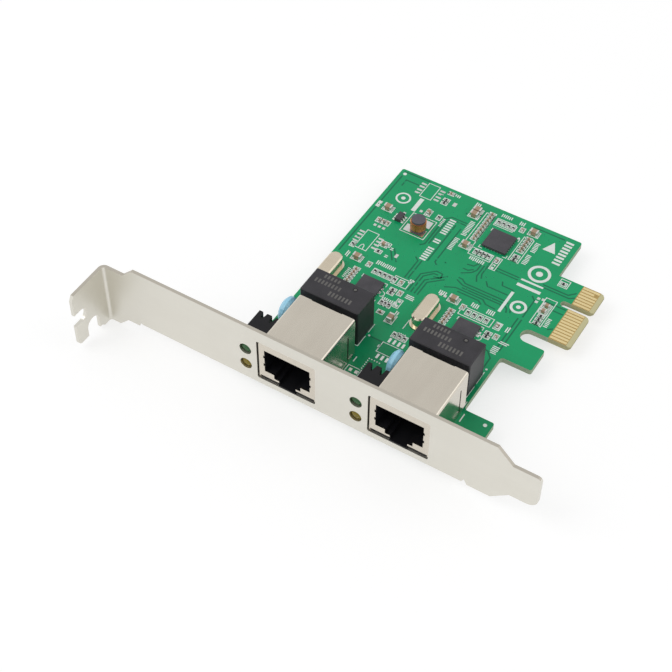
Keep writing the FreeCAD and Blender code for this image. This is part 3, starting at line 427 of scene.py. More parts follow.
class Finish(Enum):
    """Every finish on the card."""

    # The bracket's last colour is painted shade along its top edge.
    BRACKET = PlatedMetal("bracket_nickel", (0.75, 0.73, 0.665), (0.715, 0.692, 0.625), 0.4,
                          (30.0, 300.0, 300.0), uneven=0.05, bump=0.02, top_edge_shade=(0.54, 0.505, 0.44))
    SCREW = PlatedMetal("screw_zinc", (0.62, 0.62, 0.60), (0.48, 0.48, 0.46), 0.32)
    SHIELD = PlatedMetal("shield_plate", (0.675, 0.625, 0.54), (0.62, 0.57, 0.49), 0.21,
                         (500.0, 60.0, 60.0), uneven=0.05, bump=0.008)
    GOLD = PlatedMetal("gold_plate", (0.90, 0.74, 0.40), (0.80, 0.64, 0.33), 0.26)
    TIN = PlatedMetal("tin_plate", (0.78, 0.78, 0.76), (0.60, 0.60, 0.58), 0.32,
                      (500.0, 500.0, 500.0))
    CAN = PlatedMetal("crystal_can_metal", (0.74, 0.66, 0.53), (0.66, 0.58, 0.45), 0.2,
                      (60.0, 600.0, 600.0), uneven=0.08)
    BOARD = SolderMask("board_mask", (0.005, 0.385, 0.148), (0.005, 0.34, 0.13),
                       (0.003, 0.285, 0.11), (0.55, 0.66, 0.47), (0.58, 0.40, 0.14),
                       (0.62, 0.58, 0.33))
    BLACK = Moulded("black_nylon", (0.004, 0.004, 0.006), (0.008, 0.008, 0.010), 0.5, bend=1.35)
    EPOXY = Moulded("module_epoxy", (0.0205, 0.019, 0.0233), (0.042, 0.039, 0.0465), 0.48, 4200.0)
    CHIP = Moulded("chip_epoxy", (0.047, 0.044, 0.052), (0.080, 0.075, 0.086), 0.46, 5200.0)
    FERRITE = Moulded("drum_ferrite", (0.09, 0.085, 0.105), (0.14, 0.13, 0.155), 0.6)
    CERAMIC = Moulded("ceramic_brown", (0.24, 0.14, 0.085), (0.36, 0.23, 0.15), 0.5)
    RESISTOR = Moulded("resistor_glaze", (0.015, 0.015, 0.016), (0.03, 0.03, 0.03), 0.3)
    DIPPED = Moulded("blue_dip", (0.36, 0.74, 0.98), (0.40, 0.78, 1.0), 0.34, 1500.0, 0.05, 0.2)
    GREEN_LAMP = TintedLens("green_lens", (0.012, 0.11, 0.02), (0.04, 0.20, 0.05))
    YELLOW_LAMP = TintedLens("yellow_lens", (0.26, 0.19, 0.003), (0.38, 0.30, 0.01))
    # The winding's second colour is painted shade between its turns.
    COPPER = WoundWire("enamelled_copper", (0.95, 0.36, 0.11), (0.22, 0.06, 0.02), 13000.0)
    INK = Moulded("board_print", (0.76, 0.82, 0.78), (0.86, 0.90, 0.87), 0.6, 6000.0, 0.05)
    FADED_INK = Moulded("module_print", (0.11, 0.105, 0.10), (0.16, 0.155, 0.145), 0.6, 6000.0,
                        0.05)
    # Darker lines beside the copper, and also the painted shade of the via holes.
    TRACE = Moulded("board_trace_and_hole_shade", (0.003, 0.15, 0.07), (0.003, 0.18, 0.082), 0.32, 3000.0, 0.05,
                    bend=1.36)
    RELIEF = Moulded("board_relief", (0.010, 0.40, 0.165), (0.012, 0.44, 0.185), 0.3, 3000.0, 0.05,
                     bend=1.36)

    def material(self) -> bpy.types.Material:
        """Returns the finish's material, built once."""
        found = bpy.data.materials.get(self.value.name)
        return found or self.value.build()


def dress(node: str, finish: Finish) -> None:
    """Gives a frame node its finish.

    Args:
        node: The node's name.
        finish: What it gets.
    """
    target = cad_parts[node]
    target.data.materials.clear()
    target.data.materials.append(finish.material())
    LOG.info("dressed %s with %s", node, finish.value.name)


def extent(points: Sequence[Vector]) -> Box:
    """Returns the box round some points."""
    return (Vector([min(point[axis] for point in points) for axis in range(3)]),
            Vector([max(point[axis] for point in points) for axis in range(3)]))


def solids(node: str) -> list[Box]:
    """Lists the boxes of a node's separate solids.

    Args:
        node: The node's name.

    Returns:
        Lowest and highest corner of each solid.
    """
    mesh = bmesh.new()
    mesh.from_mesh(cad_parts[node].data)
    bmesh.ops.remove_doubles(mesh, verts=mesh.verts[:], dist=1e-7)
    todo = set(mesh.verts)
    found = []
    while todo:
        stack = [todo.pop()]
        group = []
        while stack:
            vert = stack.pop()
            group.append(vert.co.copy())
            for edge in vert.link_edges:
                other = edge.other_vert(vert)
                if other in todo:
                    todo.remove(other)
                    stack.append(other)
        found.append(extent(group))
    mesh.free()
    return sorted(found, key=lambda box: tuple(round(part, 6) for part in (*box[0], *box[1])))


def circle(x: float, y: float, radius: float, sides: int) -> list[Spot]:
    """Returns the corners of a regular polygon round a centre."""
    turns = [math.tau * step / sides for step in range(sides)]
    return [(x + radius * math.cos(turn), y + radius * math.sin(turn)) for turn in turns]


def bridge(mesh: bmesh.types.BMesh, loops: Sequence[Sequence[bmesh.types.BMVert]]) -> None:
    """Adds the walls between neighbouring loops of as many points.

    Args:
        mesh: Where they go.
        loops: The loops in order.
    """
    for near, far in zip(loops, loops[1:]):
        for index in range(len(near)):
            after = (index + 1) % len(near)
            mesh.faces.new((near[index], near[after], far[after], far[index]))


def add_piece(name: str, mesh: bmesh.types.BMesh, finish: Finish, slot: str,
              smooth: bool = False, facing: float = 0.0) -> None:
    """Turns a mesh into a piece that rides on the card.

    Args:
        name: The piece's name.
        mesh: Its mesh, which is freed.
        finish: Its finish.
        slot: The record's material slot; not used.
        smooth: Whether it shades smoothly.
        facing: 1 or -1 if all its faces look up or down.
    """
    bmesh.ops.recalc_face_normals(mesh, faces=mesh.faces[:])
    for face in mesh.faces:
        if face.normal.z * facing < 0:
            face.normal_flip()
    made = bpy.data.meshes.new(name)
    mesh.to_mesh(made)
    mesh.free()
    for face in made.polygons:
        face.use_smooth = smooth
    made.materials.append(finish.material())
    piece = bpy.data.objects.new(name, made)
    bpy.context.scene.collection.objects.link(piece)
    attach(piece, "root")
    LOG.info("built %s, %d faces", name, len(made.polygons))


class Layer:
    """A thin printed or plated layer, built up from flat shapes at one height."""

    def __init__(self, name: str, height: float, finish: Finish,
                 slot: str = "board_green") -> None:
        """Starts an empty layer.

        Args:
            name: The piece's name.
            height: Its level in metres.
            finish: Its finish.
            slot: The record's material slot.
        """
        self.name = name
        self.height = height
        self.finish = finish
        self.slot = slot
        self.mesh = bmesh.new()

    def face(self, points: Sequence[Spot]) -> None:
        """Adds one flat face through points."""
        verts = [self.mesh.verts.new((x, y, self.height)) for x, y in points]
        self.mesh.faces.new(verts)

    def plate(self, x0: float, x1: float, y0: float, y1: float) -> None:
        """Adds a rectangle."""
        self.face(((x0, y0), (x1, y0), (x1, y1), (x0, y1)))

    def pad(self, place: Spot, across: float, deep: float) -> None:
        """Adds a rectangle round its centre."""
        x, y = place
        self.plate(x - across / 2, x + across / 2, y - deep / 2, y + deep / 2)

    def stroke(self, points: Sequence[Spot], width: float, sharpest: float = 0.5) -> None:
        """Adds a line of even width with mitred corners.

        Args:
            points: The line's corners.
            width: Its width.
            sharpest: The least share of a mitre, which keeps sharp corners short.
        """
        sides = []
        last = len(points) - 1
        for index in range(last + 1):
            here = Vector(points[index])
            before = Vector(points[max(index - 1, 0)])
            after = Vector(points[min(index + 1, last)])
            run_in = (here - before).normalized() if index else (after - here).normalized()
            run_out = (after - here).normalized() if index < last else run_in
            square = Vector((-run_in.y, run_in.x))
            across = Vector((-(run_in + run_out).y, (run_in + run_out).x))
            across = across.normalized() if across.length > 1e-9 else square
            half = across * (width / 2 / max(across.dot(square), sharpest))
            sides.append((self.mesh.verts.new((*(here + half), self.height)),
                          self.mesh.verts.new((*(here - half), self.height))))
        for (left, right), (next_left, next_right) in zip(sides, sides[1:]):
            self.mesh.faces.new((right, next_right, next_left, left))

    def frame(self, x0: float, x1: float, y0: float, y1: float, width: float) -> None:
        """Adds the outline of a rectangle."""
        self.plate(x0 - width, x1 + width, y0 - width, y0)
        self.plate(x0 - width, x1 + width, y1, y1 + width)
        self.plate(x0 - width, x0, y0, y1)
        self.plate(x1, x1 + width, y0, y1)

    def disc(self, place: Spot, radius: float, sides: int) -> None:
        """Adds a disc."""
        self.face(circle(*place, radius, sides))

    def ring(self, place: Spot, inner: float, outer: float, sides: int) -> None:
        """Adds a ring.

        Args:
            place: Its centre.
            inner: Its inner radius.
            outer: Its outer radius.
            sides: How many sides it has.
        """
        core = circle(*place, inner, sides)
        rim = circle(*place, outer, sides)
        for index in range(sides):
            after = (index + 1) % sides
            self.face((core[index], rim[index], rim[after], core[after]))

    def close(self) -> None:
        """Makes the piece, whose faces look down if it lies under the board."""
        facing = 1.0 if self.height > -1.0 * MM else -1.0
        add_piece(self.name, self.mesh, self.finish, self.slot, facing=facing)


@dataclass
class BoardWork:
    """What all the work on the board shares."""

    lift: float = 0.012 * MM
    left: float = field(default_factory=lambda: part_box("circuit_board")[0][0])
    foot: float = field(default_factory=lambda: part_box("circuit_board")[0][2])

    def spot(self, u: float, v: float) -> Spot:
        """Turns millimetres from the board's left edge and the panel into the card's frame."""
        return self.left + u * MM, v * MM

    def area(self, u0: float, u1: float, v0: float, v1: float) -> Area:
        """Turns the sides of a rectangle in such millimetres into the card's frame."""
        (x0, y0), (x1, y1) = self.spot(u0, v0), self.spot(u1, v1)
        return x0, x1, y0, y1

    def draw(self, layer: Layer, run: Iterable[Spot], width: float) -> None:
        """Strokes one line whose corners are in such millimetres."""
        layer.stroke([self.spot(*point) for point in run], width)


TRACE_RUNS: tuple[Run, ...] = (
    ((18, 59.2), (19, 60.2), (19, 71), (20.4, 72.5), (25, 72.5)),
    ((19.8, 60.8), (19.8, 70.4), (21, 71.7), (25, 71.7)), ((22.6, 55.2), (22.6, 70.4)),
    ((25.3, 55.2), (24.4, 56), (24.4, 70)), ((19.3, 55), (20.5, 54), (20.5, 47)),
    ((21.4, 54.6), (21.4, 47)), ((12, 54.6), (14.8, 50.6)), ((13.2, 54.6), (16, 50.6)),
    ((23.4, 43.6), (23.4, 50.4), (26.4, 53.3), (28.2, 53.2), (28.5, 51.6), (26.6, 51.2)),
    ((24.3, 43.6), (24.3, 50), (26.2, 52.2), (27.4, 52.3)), ((25.3, 43.6), (25.3, 49), (29.8, 53.2)),
    ((26.2, 43.6), (26.2, 48.6), (29.6, 51.8)), ((31.8, 59.6), (33.6, 59.9), (34.4, 61.4)),
    ((31.6, 57.8), (33, 57.8), (34.2, 58.8)), ((31.9, 56), (34.2, 57.6), (35, 59), (35, 61.4)),
    ((35.9, 61.4), (35.9, 57.2), (36.8, 55.4)), ((36.7, 63), (36.7, 58.5), (37.3, 57)),
    ((38.5, 62.4), (45.4, 62.4)), ((38.5, 61.5), (45.4, 61.5)),
    ((42.4, 59), (43, 57.7), (46.2, 57.7)), ((38.8, 56.9), (39.9, 55.5), (45.6, 55.5)),
    ((32.2, 54.4), (33.4, 54.3), (34.6, 53.4), (46.4, 53.4), (48.2, 52.2), (48.9, 50.4)),
    ((32.2, 53.5), (34.4, 52.5), (46, 52.5), (47.5, 51.3), (48, 50)),
    ((34.6, 51.7), (45.4, 51.7), (46.8, 50.6)),
    ((30.6, 49.6), (33.2, 50.9), (41, 50.9), (42.4, 49.8), (45.2, 49.6)),
    ((34.2, 50), (40.2, 50), (41.4, 49.2)), ((51.4, 50), (51.4, 38)), ((52.4, 50), (52.4, 38)),
    ((51, 58.6), (52.2, 57.4), (52.2, 50.8)), ((51.6, 63.5), (58.6, 63.5), (60.2, 65.2)),
    ((51.6, 62.6), (59.2, 62.6), (60.6, 63.6)), ((53.6, 58.6), (60.4, 58.6)),
    ((57.6, 56.8), (60.4, 56.8)), ((59.2, 50.4), (60.4, 51.4)),
    ((45.8, 36.6), (50, 36.6), (51.6, 34.8), (51.6, 31)),
    ((12, 35.9), (12, 32.4), (10.4, 30.8), (10.4, 29.8)), ((14, 35.9), (14, 31), (14, 29.8)),
    ((16, 35.9), (16, 31.2), (17.2, 30.2)), ((40, 35.9), (40, 32.4), (41, 31), (41, 29.8)),
    ((42.2, 35.9), (42.2, 33.4), (44.4, 31.2), (44.4, 29.8)), ((3, 76), (3, 78.5), (7, 78.5)),
    ((1.2, 46.6), (1.2, 79.4)), ((22.6, 25.5), (26.8, 25.5)), ((0.9, 81.2), (9, 81.2)),
    ((40.4, 80.6), (49.4, 80.6)))

UNDER_RUNS: tuple[tuple[Spot, Run], ...] = (
    ((1, 0), ((8, 38), (8, 52), (16, 60), (16, 72))),
    ((1, 0), ((38, 38), (38, 47), (30, 55), (30, 66))), ((0, 1), ((45, 52), (58, 52))),
    ((0, 1), ((40, 62.6), (50, 62.6), (52, 64.6), (58, 64.6))))


@dataclass
class Traces(BoardWork):
    """The gaps beside the copper, which show as darker lines."""

    width: float = 0.4 * MM
    level: float = 0.5
    side_by_side: int = 4
    pitch: float = 0.9

    def build(self) -> None:
        """Draws the runs on the top and bundles of plain ones underneath."""
        rise = self.lift * self.level
        layer = Layer("board_traces", rise, Finish.TRACE)
        for run in TRACE_RUNS:
            self.draw(layer, run, self.width)
        layer.close()
        under = Layer("board_traces_under", self.foot - rise, Finish.TRACE)
        for step in range(self.side_by_side):
            shift = step * self.pitch
            for (across, inward), run in UNDER_RUNS:
                moved = ((u + shift * across, v + shift * inward) for u, v in run)
                self.draw(under, moved, self.width)
        under.close()


SPARE_PLATES: tuple[Area, ...] = (
    (11.5, 17.3, 61.8, 64.4), (11.5, 17.3, 65.4, 68), (0.9, 1.9, 65.6, 66.6), (0.9, 1.9, 67, 68),
    (24.2, 25, 13.4, 14.4), (25.8, 26.6, 13.4, 14.4), (18.2, 19.2, 76.3, 77.7),
    (14.6, 15.4, 51.8, 53.2))
SPARE_PADS: Run = (
    (4.5, 59.4), (5.8, 59.4), (7.1, 59.4), (38, 65.2), (38, 64.1), (37.9, 62.8), (37.9, 61.8),
    (54, 58.8), (52.8, 58.6), (52.8, 57.3), (10, 54.8), (11.2, 54.8), (48.4, 45.4), (48.4, 44.4),
    (19, 45.4), (31.2, 46.9), (32.4, 46.9), (8.9, 67.2), (12.3, 70.2), (23.6, 39.2), (23.6, 37.6),
    (45.6, 40.6), (45.6, 39.6), (17.7, 40.6), (17.7, 39.2))


@dataclass
class Lands(BoardWork):
    """The plated lands of the fitted parts and of the places left empty."""

    margin: float = 0.14 * MM
    long: float = 1.5 * MM
    wide: float = 0.62 * MM
    side: float = 0.8 * MM
    upper_rows: tuple[float, ...] = (79.7, 78.5, 77.1, 75.9)
    lower_rows: tuple[float, ...] = (55.6, 54.4, 53.1, 51.8)
    front_rows: tuple[float, ...] = (26.9, 21.0)
    front_columns: tuple[float, ...] = (28.0, 29.3, 30.6, 31.8)

    def build(self) -> None:
        """Plates every land."""
        layer = Layer("board_lands", self.lift, Finish.TIN, "solder_tin")
        self.surround(layer, ("chip_end_caps", "regulator_leads_left", "regulator_leads_right"))
        for column, rows in ((7.9, self.upper_rows), (13.6, self.upper_rows),
                             (2.9, self.lower_rows), (8.6, self.lower_rows)):
            for row in rows:
                layer.pad(self.spot(column, row), self.long, self.wide)
        for row in self.front_rows:
            for column in self.front_columns:
                layer.pad(self.spot(column, row), self.wide, self.long)
        self.surround(layer, ("chip_resistors", "chip_capacitors"))
        for plate in SPARE_PLATES:
            layer.plate(*self.area(*plate))
        for place in SPARE_PADS:
            layer.pad(self.spot(*place), self.side, self.side)
        layer.close()

    def surround(self, layer: Layer, names: Iterable[str]) -> None:
        """Lays a slightly larger land under each solid of some nodes.

        Args:
            layer: The layer of lands.
            names: The nodes.
        """
        grow = self.margin
        for name in names:
            for low, high in solids(name):
                layer.plate(low.x - grow, high.x + grow, low.y - grow, high.y + grow)


@dataclass
class Vias(BoardWork):
    """Small plated holes between the parts, with their places in millimetres."""

    seed: int = 7
    count: int = 260
    across: tuple[float, float] = (2.0, 51.5)
    inward: tuple[float, float] = (31.0, 80.0)
    clear: float = 0.5 * MM
    hole: float = 0.14 * MM
    rim: float = 0.3 * MM
    rim_level: float = 1.2
    hole_level: float = 1.5

    def build(self) -> None:
        """Scatters the holes on both sides, each as a ring and a dark dot that is painted shade for
        the hole.
        """
        low, high = self.lift * self.rim_level, self.lift * self.hole_level
        # The dot at each hole is painted shade standing in for the hole's depth.
        sides = [(Layer("board_vias", low, Finish.RELIEF),
                  Layer("board_via_hole_shade", high, Finish.TRACE)),
                 (Layer("board_vias_under", self.foot - low, Finish.RELIEF),
                  Layer("board_via_hole_shade_under", self.foot - high, Finish.TRACE))]
        maker = random.Random(self.seed)
        taken = [box for name in ("chip_end_caps", "chip_resistors", "chip_capacitors")
                 for box in solids(name)]
        for _ in range(self.count):
            place = self.spot(maker.uniform(*self.across), maker.uniform(*self.inward))
            if any(self.meets(place, box) for box in taken):
                continue
            for rims, holes in sides:
                rims.ring(place, self.hole, self.rim, 10)
                holes.disc(place, self.hole, 8)
        for rims, holes in sides:
            rims.close()
            holes.close()

    def meets(self, place: Spot, box: Box) -> bool:
        """Says whether a place is over a box or too near it."""
        (x, y), (low, high) = place, box
        return (low.x - self.clear < x < high.x + self.clear
                and low.y - self.clear < y < high.y + self.clear)


PRINTED_FRAMES: tuple[Area, ...] = (
    (9.1, 12.2, 75.2, 80.6), (4, 7.2, 50, 56.7), (27, 32.5, 22.3, 25.5), (23.6, 27, 12.9, 14.9),
    (11, 17.8, 61.3, 68.5), (27.5, 29.8, 66, 78.8), (31, 36.2, 76, 78.5), (40, 42.6, 66.8, 76),
    (30.2, 36.2, 63.3, 65.7), (38, 46.6, 43.6, 46.3), (37.3, 38.7, 61.3, 65.7),
    (47.7, 49.1, 43.8, 46), (18.5, 22.6, 43.8, 46.4), (9.4, 11.8, 54.2, 55.4), (23, 24.2, 37, 39.8),
    (54.5, 57.3, 50.4, 59.8), (54.9, 57.2, 65.3, 67.7))
PRINTED_RUNS: tuple[Run, ...] = (
    ((22.2, 29.5), (22.2, 26.3)), ((22.2, 25), (22.2, 21.2), (21.4, 21.2)),
    ((22.6, 19), (22.6, 13.6)), ((52.5, 30.2), (52.5, 26)), ((52.5, 25), (52.5, 21)),
    ((53.3, 13.5), (53.3, 20)), ((28.8, 31.8), (28.8, 35.2)), ((28.8, 36.6), (28.8, 38.4)),
    ((27, 24.4), (26.5, 24.2), (26.5, 23.6), (27, 23.4)),
    ((5, 50), (5.2, 51.3), (5.6, 51.7), (6, 51.3), (6.2, 50)))
PRINTED_DOTS: Run = ((22.9, 25.6), (52.5, 31.2), (23.2, 47), (38.9, 74.9))
STACKED_TICKS: tuple[Area, ...] = (
    (25.2, 26.7, 68.2, 74.6), (24.6, 26, 61.8, 66.8), (43.4, 44.8, 67.2, 71.4),
    (43.4, 44.8, 72.2, 76.2), (57.8, 58.9, 50.8, 54.6), (12.3, 13.2, 50.6, 52.2),
    (12.3, 13.2, 53.6, 55.2), (24, 26.4, 41, 42.8), (50.9, 53.6, 40.2, 41.8),
    (50.4, 52.2, 36.4, 39.4), (18.6, 19.4, 67.8, 71.2), (6.6, 7.4, 39, 43.2))
ROW_TICKS: tuple[Area, ...] = (
    (31.2, 35.8, 61.4, 62.8), (39.4, 41.8, 47.2, 48.8), (43.8, 46.4, 47.2, 48.8),
    (31.2, 34.6, 79.6, 80.8), (36.6, 38.4, 79.4, 80.8), (23.4, 25.2, 79.8, 81),
    (15, 19.4, 79.8, 80.8), (11.8, 17.4, 47.4, 48.8), (3.4, 5, 45.6, 47.8), (22.2, 23.6, 45.8, 47.4),
    (30.4, 32.8, 46.8, 48.2), (50.6, 52.2, 44.2, 46.2), (0.8, 2.4, 65.6, 67.8),
    (19.2, 23.6, 37.6, 38.6), (24.6, 26, 34.8, 36.2), (28.6, 31, 29.6, 30.4),
    (54.4, 55.2, 13.8, 16.4), (23.7, 24.3, 16.4, 18.4))
SIGN_BARS: tuple[Area, ...] = (
    (9.7, 10.9, 69.1, 74.4), (45.8, 52.4, 59.8, 60.8), (46, 52.2, 62, 62.6), (45.9, 46.7, 49.4, 57.2))
SIGN_LADDERS: tuple[tuple[Area, float], ...] = (
    ((20.3, 22.1, 54.9, 60.4), 0.9), ((20.3, 22.1, 62, 64.3), 0.9), ((20.3, 22.1, 65.8, 72.4), 0.9),
    ((50, 52.2, 71.4, 81.2), 1.2))
SIGN_RINGS: tuple[Area, ...] = (
    (49.2, 66.2, 2.2, 3), (49.2, 66.2, 0, 0.9), (49.8, 53.3, 1.5, 2.2), (49.8, 53.3, 0, 0.6),
    (5.8, 72, 1.6, 2.1), (5.8, 72, 0, 0.6), (1.5, 80.35, 0, 0.5), (60.2, 16, 0, 0.5))
SIGN_TRIANGLE: Run = ((45.8, 74.6), (49.4, 74.6), (47.6, 78.4))


@dataclass
class BoardPrint(BoardWork):
    """Part outlines, pin marks, plain ticks and a few plain signs that mean nothing."""

    level: float = 1.6
    line: float = 0.22 * MM
    chip_line: float = 1.1
    gap: float = 0.25 * MM
    dot: float = 0.3 * MM
    pin_dot: float = 0.2 * MM
    pin_pitch: float = 0.72
    pin_column: Spot = (26.7, 13.5)
    pin_row: float = 19.26
    corner_gap: float = 0.55 * MM
    corner_arm: float = 1.0 * MM
    arc_gap: float = 0.7 * MM
    arc_radius: float = 0.9 * MM
    seed: int = 8
    tick_pitch: float = 0.55
    tick_width: float = 0.3
    tick_ends: tuple[Spot, ...] = ((0.0, 1.0), (0.0, 1.0), (0.12, 1.0), (0.0, 0.88))
    ladder_share: float = 0.58

    def build(self) -> None:
        """Prints everything in one layer."""
        layer = Layer("board_print", self.lift * self.level, Finish.INK)
        for low, high in self.outlines():
            layer.frame(low.x - self.gap, high.x + self.gap, low.y - self.gap,
                        high.y + self.gap, self.line * self.chip_line)
        for area in PRINTED_FRAMES:
            layer.frame(*self.area(*area), self.line)
        for run in PRINTED_RUNS:
            self.draw(layer, run, self.line)
        for place in PRINTED_DOTS:
            layer.disc(self.spot(*place), self.dot, 12)
        self.pin_dots(layer)
        for name in ("lan_controller_1", "lan_controller_2", "switch_chip"):
            self.corners(layer, name)
        for name in ("lan_controller_1", "lan_controller_2"):
            self.first_pin(layer, name)
        self.ticks(layer)
        self.signs(layer)
        layer.close()

    def outlines(self) -> Iterator[Box]:
        """Yields the box of each fitted chip with its ends."""
        ends = solids("chip_end_caps")
        near = TOUCH
        for name in ("chip_resistors", "chip_capacitors", "medium_chip_capacitors",
                     "large_chip_capacitors"):
            for low, high in solids(name):
                joined = [end for end in ends
                          if end[0].x < high.x + near and end[1].x > low.x - near
                          and end[0].y < high.y + near and end[1].y > low.y - near]
                yield extent([low, high, *(corner for end in joined for corner in end)])

    def pin_dots(self, layer: Layer) -> None:
        """Prints a column and a short row of dots beside an empty place.

        Args:
            layer: The print layer.
        """
        u, v = self.pin_column
        places = [(u, v + step * self.pin_pitch) for step in range(9)]
        places += [(u + step * self.pin_pitch, self.pin_row) for step in range(1, 5)]
        for place in places:
            layer.disc(self.spot(*place), self.pin_dot, 8)

    def corners(self, layer: Layer, name: str) -> None:
        """Prints an angle at each corner of a chip.

        Args:
            layer: The print layer.
            name: The chip's node.
        """
        low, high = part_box(name)
        for x, side in ((low[0] - self.corner_gap, 1), (high[0] + self.corner_gap, -1)):
            for y, turn in ((low[1] - self.corner_gap, 1), (high[1] + self.corner_gap, -1)):
                layer.stroke(((x, y + turn * self.corner_arm), (x, y),
                              (x + side * self.corner_arm, y)), self.line)

    def first_pin(self, layer: Layer, name: str) -> None:
        """Prints a half circle beside a chip.

        Args:
            layer: The print layer.
            name: The chip's node.
        """
        low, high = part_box(name)
        x, y = high[0] + self.arc_gap, (low[1] + high[1]) / 2
        turns = [step * math.pi / 8 for step in range(9)]
        layer.stroke([(x + self.arc_radius * math.sin(turn), y + self.arc_radius * math.cos(turn))
                      for turn in turns], self.line)

    def ticks(self, layer: Layer) -> None:
        """Prints groups of short plain strokes where reference marks stand.

        Args:
            layer: The print layer.
        """
        maker = random.Random(self.seed)
        for u0, u1, v0, v1 in STACKED_TICKS:
            for low, high, start, end in self.strokes(maker, (v0, v1), (u0, u1)):
                layer.plate(*self.area(start, end, low, high))
        for u0, u1, v0, v1 in ROW_TICKS:
            for low, high, start, end in self.strokes(maker, (u0, u1), (v0, v1)):
                layer.plate(*self.area(low, high, start, end))

    def strokes(self, maker: random.Random, along: Spot, across: Spot) -> Iterator[Area]:
        """Lays out the strokes of one group.

        Args:
            maker: Where their uneven ends come from.
            along: Where the group begins and ends.
            across: Where its strokes begin and end.

        Yields:
            The low and high side and the start and end of a stroke.
        """
        reach = across[1] - across[0]
        for index in range(max(int((along[1] - along[0]) / self.tick_pitch), 1)):
            start, end = maker.choice(self.tick_ends)
            place = along[0] + index * self.tick_pitch
            yield (place, place + self.tick_width,
                   across[0] + reach * start, across[0] + reach * end)

    def signs(self, layer: Layer) -> None:
        """Prints plain bars, ladders, rings, discs and a triangle.

        Args:
            layer: The print layer.
        """
        for bar in SIGN_BARS:
            layer.plate(*self.area(*bar))
        for (u0, u1, v0, v1), pitch in SIGN_LADDERS:
            for row in range(int((v1 - v0) / pitch)):
                layer.plate(*self.area(u0, u1, v0 + row * pitch,
                                       v0 + (row + self.ladder_share) * pitch))
        for u, v, inner, outer in SIGN_RINGS:
            if inner > 0:
                layer.ring(self.spot(u, v), inner * MM, outer * MM, 28)
            else:
                layer.disc(self.spot(u, v), outer * MM, 28)
        layer.face([self.spot(*point) for point in SIGN_TRIANGLE])


@dataclass
class SolderJoints(BoardWork):
    """A small solder cone round each lead under the board."""

    radius: float = 0.85 * MM
    drop: float = 0.75 * MM
    sides: int = 12
    cleared: float = 0.1 * MM
    profile: Run = ((1.0, 0.0), (0.68, 0.22), (0.46, 0.55), (0.36, 1.0))
    nodes: tuple[str, ...] = (
        "jack_pins", "magnetics_pins", "crystal_leads", "capacitor_leads", "led_leads")

    def build(self) -> None:
        """Raises the cones of every lead that comes through."""
        mesh = bmesh.new()
        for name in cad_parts:
            if not name.startswith(self.nodes):
                continue
            for low, high in solids(name):
                if high.z <= self.foot + self.cleared:
                    self.cone(mesh, (low.x + high.x) / 2, (low.y + high.y) / 2)
        add_piece("solder_joints", mesh, Finish.TIN, "solder_tin", True)

    def cone(self, mesh: bmesh.types.BMesh, x: float, y: float) -> None:
        """Adds one hollow-sided cone that hangs from the board.

        Args:
            mesh: Where it goes.
            x: Its centre.
            y: Its centre.
        """
        rings = [[mesh.verts.new((*point, self.foot - self.drop * level))
                  for point in circle(x, y, self.radius * share, self.sides)]
                 for share, level in self.profile]
        bridge(mesh, rings)
        mesh.faces.new(rings[-1])


@dataclass
class ChipEnds:
    """Plated ends wrapped round the small chip parts."""

    length: float = 0.25 * MM
    proud: float = 0.02 * MM
    bevel: float = 0.04 * MM
    nodes: tuple[str, ...] = ("chip_resistors", "chip_capacitors")

    def build(self) -> None:
        """Builds both ends of every small chip part."""
        mesh = bmesh.new()
        for node in self.nodes:
            for low, high in solids(node):
                along = 0 if high.x - low.x > high.y - low.y else 1
                for upper in (False, True):
                    self.cap(mesh, low, high, along, upper)
        add_piece("small_chip_ends", mesh, Finish.TIN, "solder_tin")

    def cap(self, mesh: bmesh.types.BMesh, low: Vector, high: Vector, along: int,
            upper: bool) -> None:
        """Adds one end with its edges broken.

        Args:
            mesh: Where it goes.
            low: The part's lowest corner.
            high: The part's highest corner.
            along: The axis the part lies along.
            upper: Whether it is the end at the higher coordinate.
        """
        near = low - Vector((self.proud, self.proud, 0.0))
        far = high + Vector((self.proud, self.proud, self.proud))
        if upper:
            near[along] = far[along] - self.length
        else:
            far[along] = near[along] + self.length
        size = far - near
        place = Matrix.Translation((near + far) / 2) @ Matrix.Diagonal((*size, 1.0))
        made = bmesh.ops.create_cube(mesh, size=1.0, matrix=place)
        edges = {edge for vert in made["verts"] for edge in vert.link_edges}
        bmesh.ops.bevel(mesh, geom=list(edges), offset=self.bevel, segments=1, affect="EDGES")


@dataclass
class LampDomes:
    """Rounded tips of the four lamps."""

    rise: float = 0.5 * MM
    sunk: float = 0.1 * MM
    rings: int = 6
    sides: int = 36

    def build(self) -> None:
        """Builds the tips, one piece for each colour."""
        for colour, finish in (("green", Finish.GREEN_LAMP), ("yellow", Finish.YELLOW_LAMP)):
            mesh = bmesh.new()
            for node in sorted(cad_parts):
                if node.startswith(f"led_{colour}"):
                    self.dome(mesh, node)
            add_piece(f"lamp_tips_{colour}", mesh, finish, f"lens_{colour}", True)

    def dome(self, mesh: bmesh.types.BMesh, node: str) -> None:
        """Adds the tip of one lamp.

        Args:
            mesh: Where it goes.
            node: The lamp's node.
        """
        points = [vert.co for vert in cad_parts[node].data.vertices]
        face = min(point.y for point in points)
        low, high = extent([point for point in points if point.y < face + TOUCH])
        x, z = (low.x + high.x) / 2, (low.z + high.z) / 2
        radius = (high.x - low.x) / 2
        turns = [math.pi / 2 * step / self.rings for step in range(self.rings)]
        levels = [(face + self.sunk, radius)]
        levels += [(face - self.rise * math.sin(turn), radius * math.cos(turn)) for turn in turns]
        loops = [[mesh.verts.new((across, y, up)) for across, up in
                  circle(x, z, wide, self.sides)] for y, wide in levels]
        bridge(mesh, loops)
        top = mesh.verts.new((x, face - self.rise, z))
        for index in range(self.sides):
            mesh.faces.new((loops[-1][index], loops[-1][(index + 1) % self.sides], top))
        mesh.faces.new(loops[0][::-1])


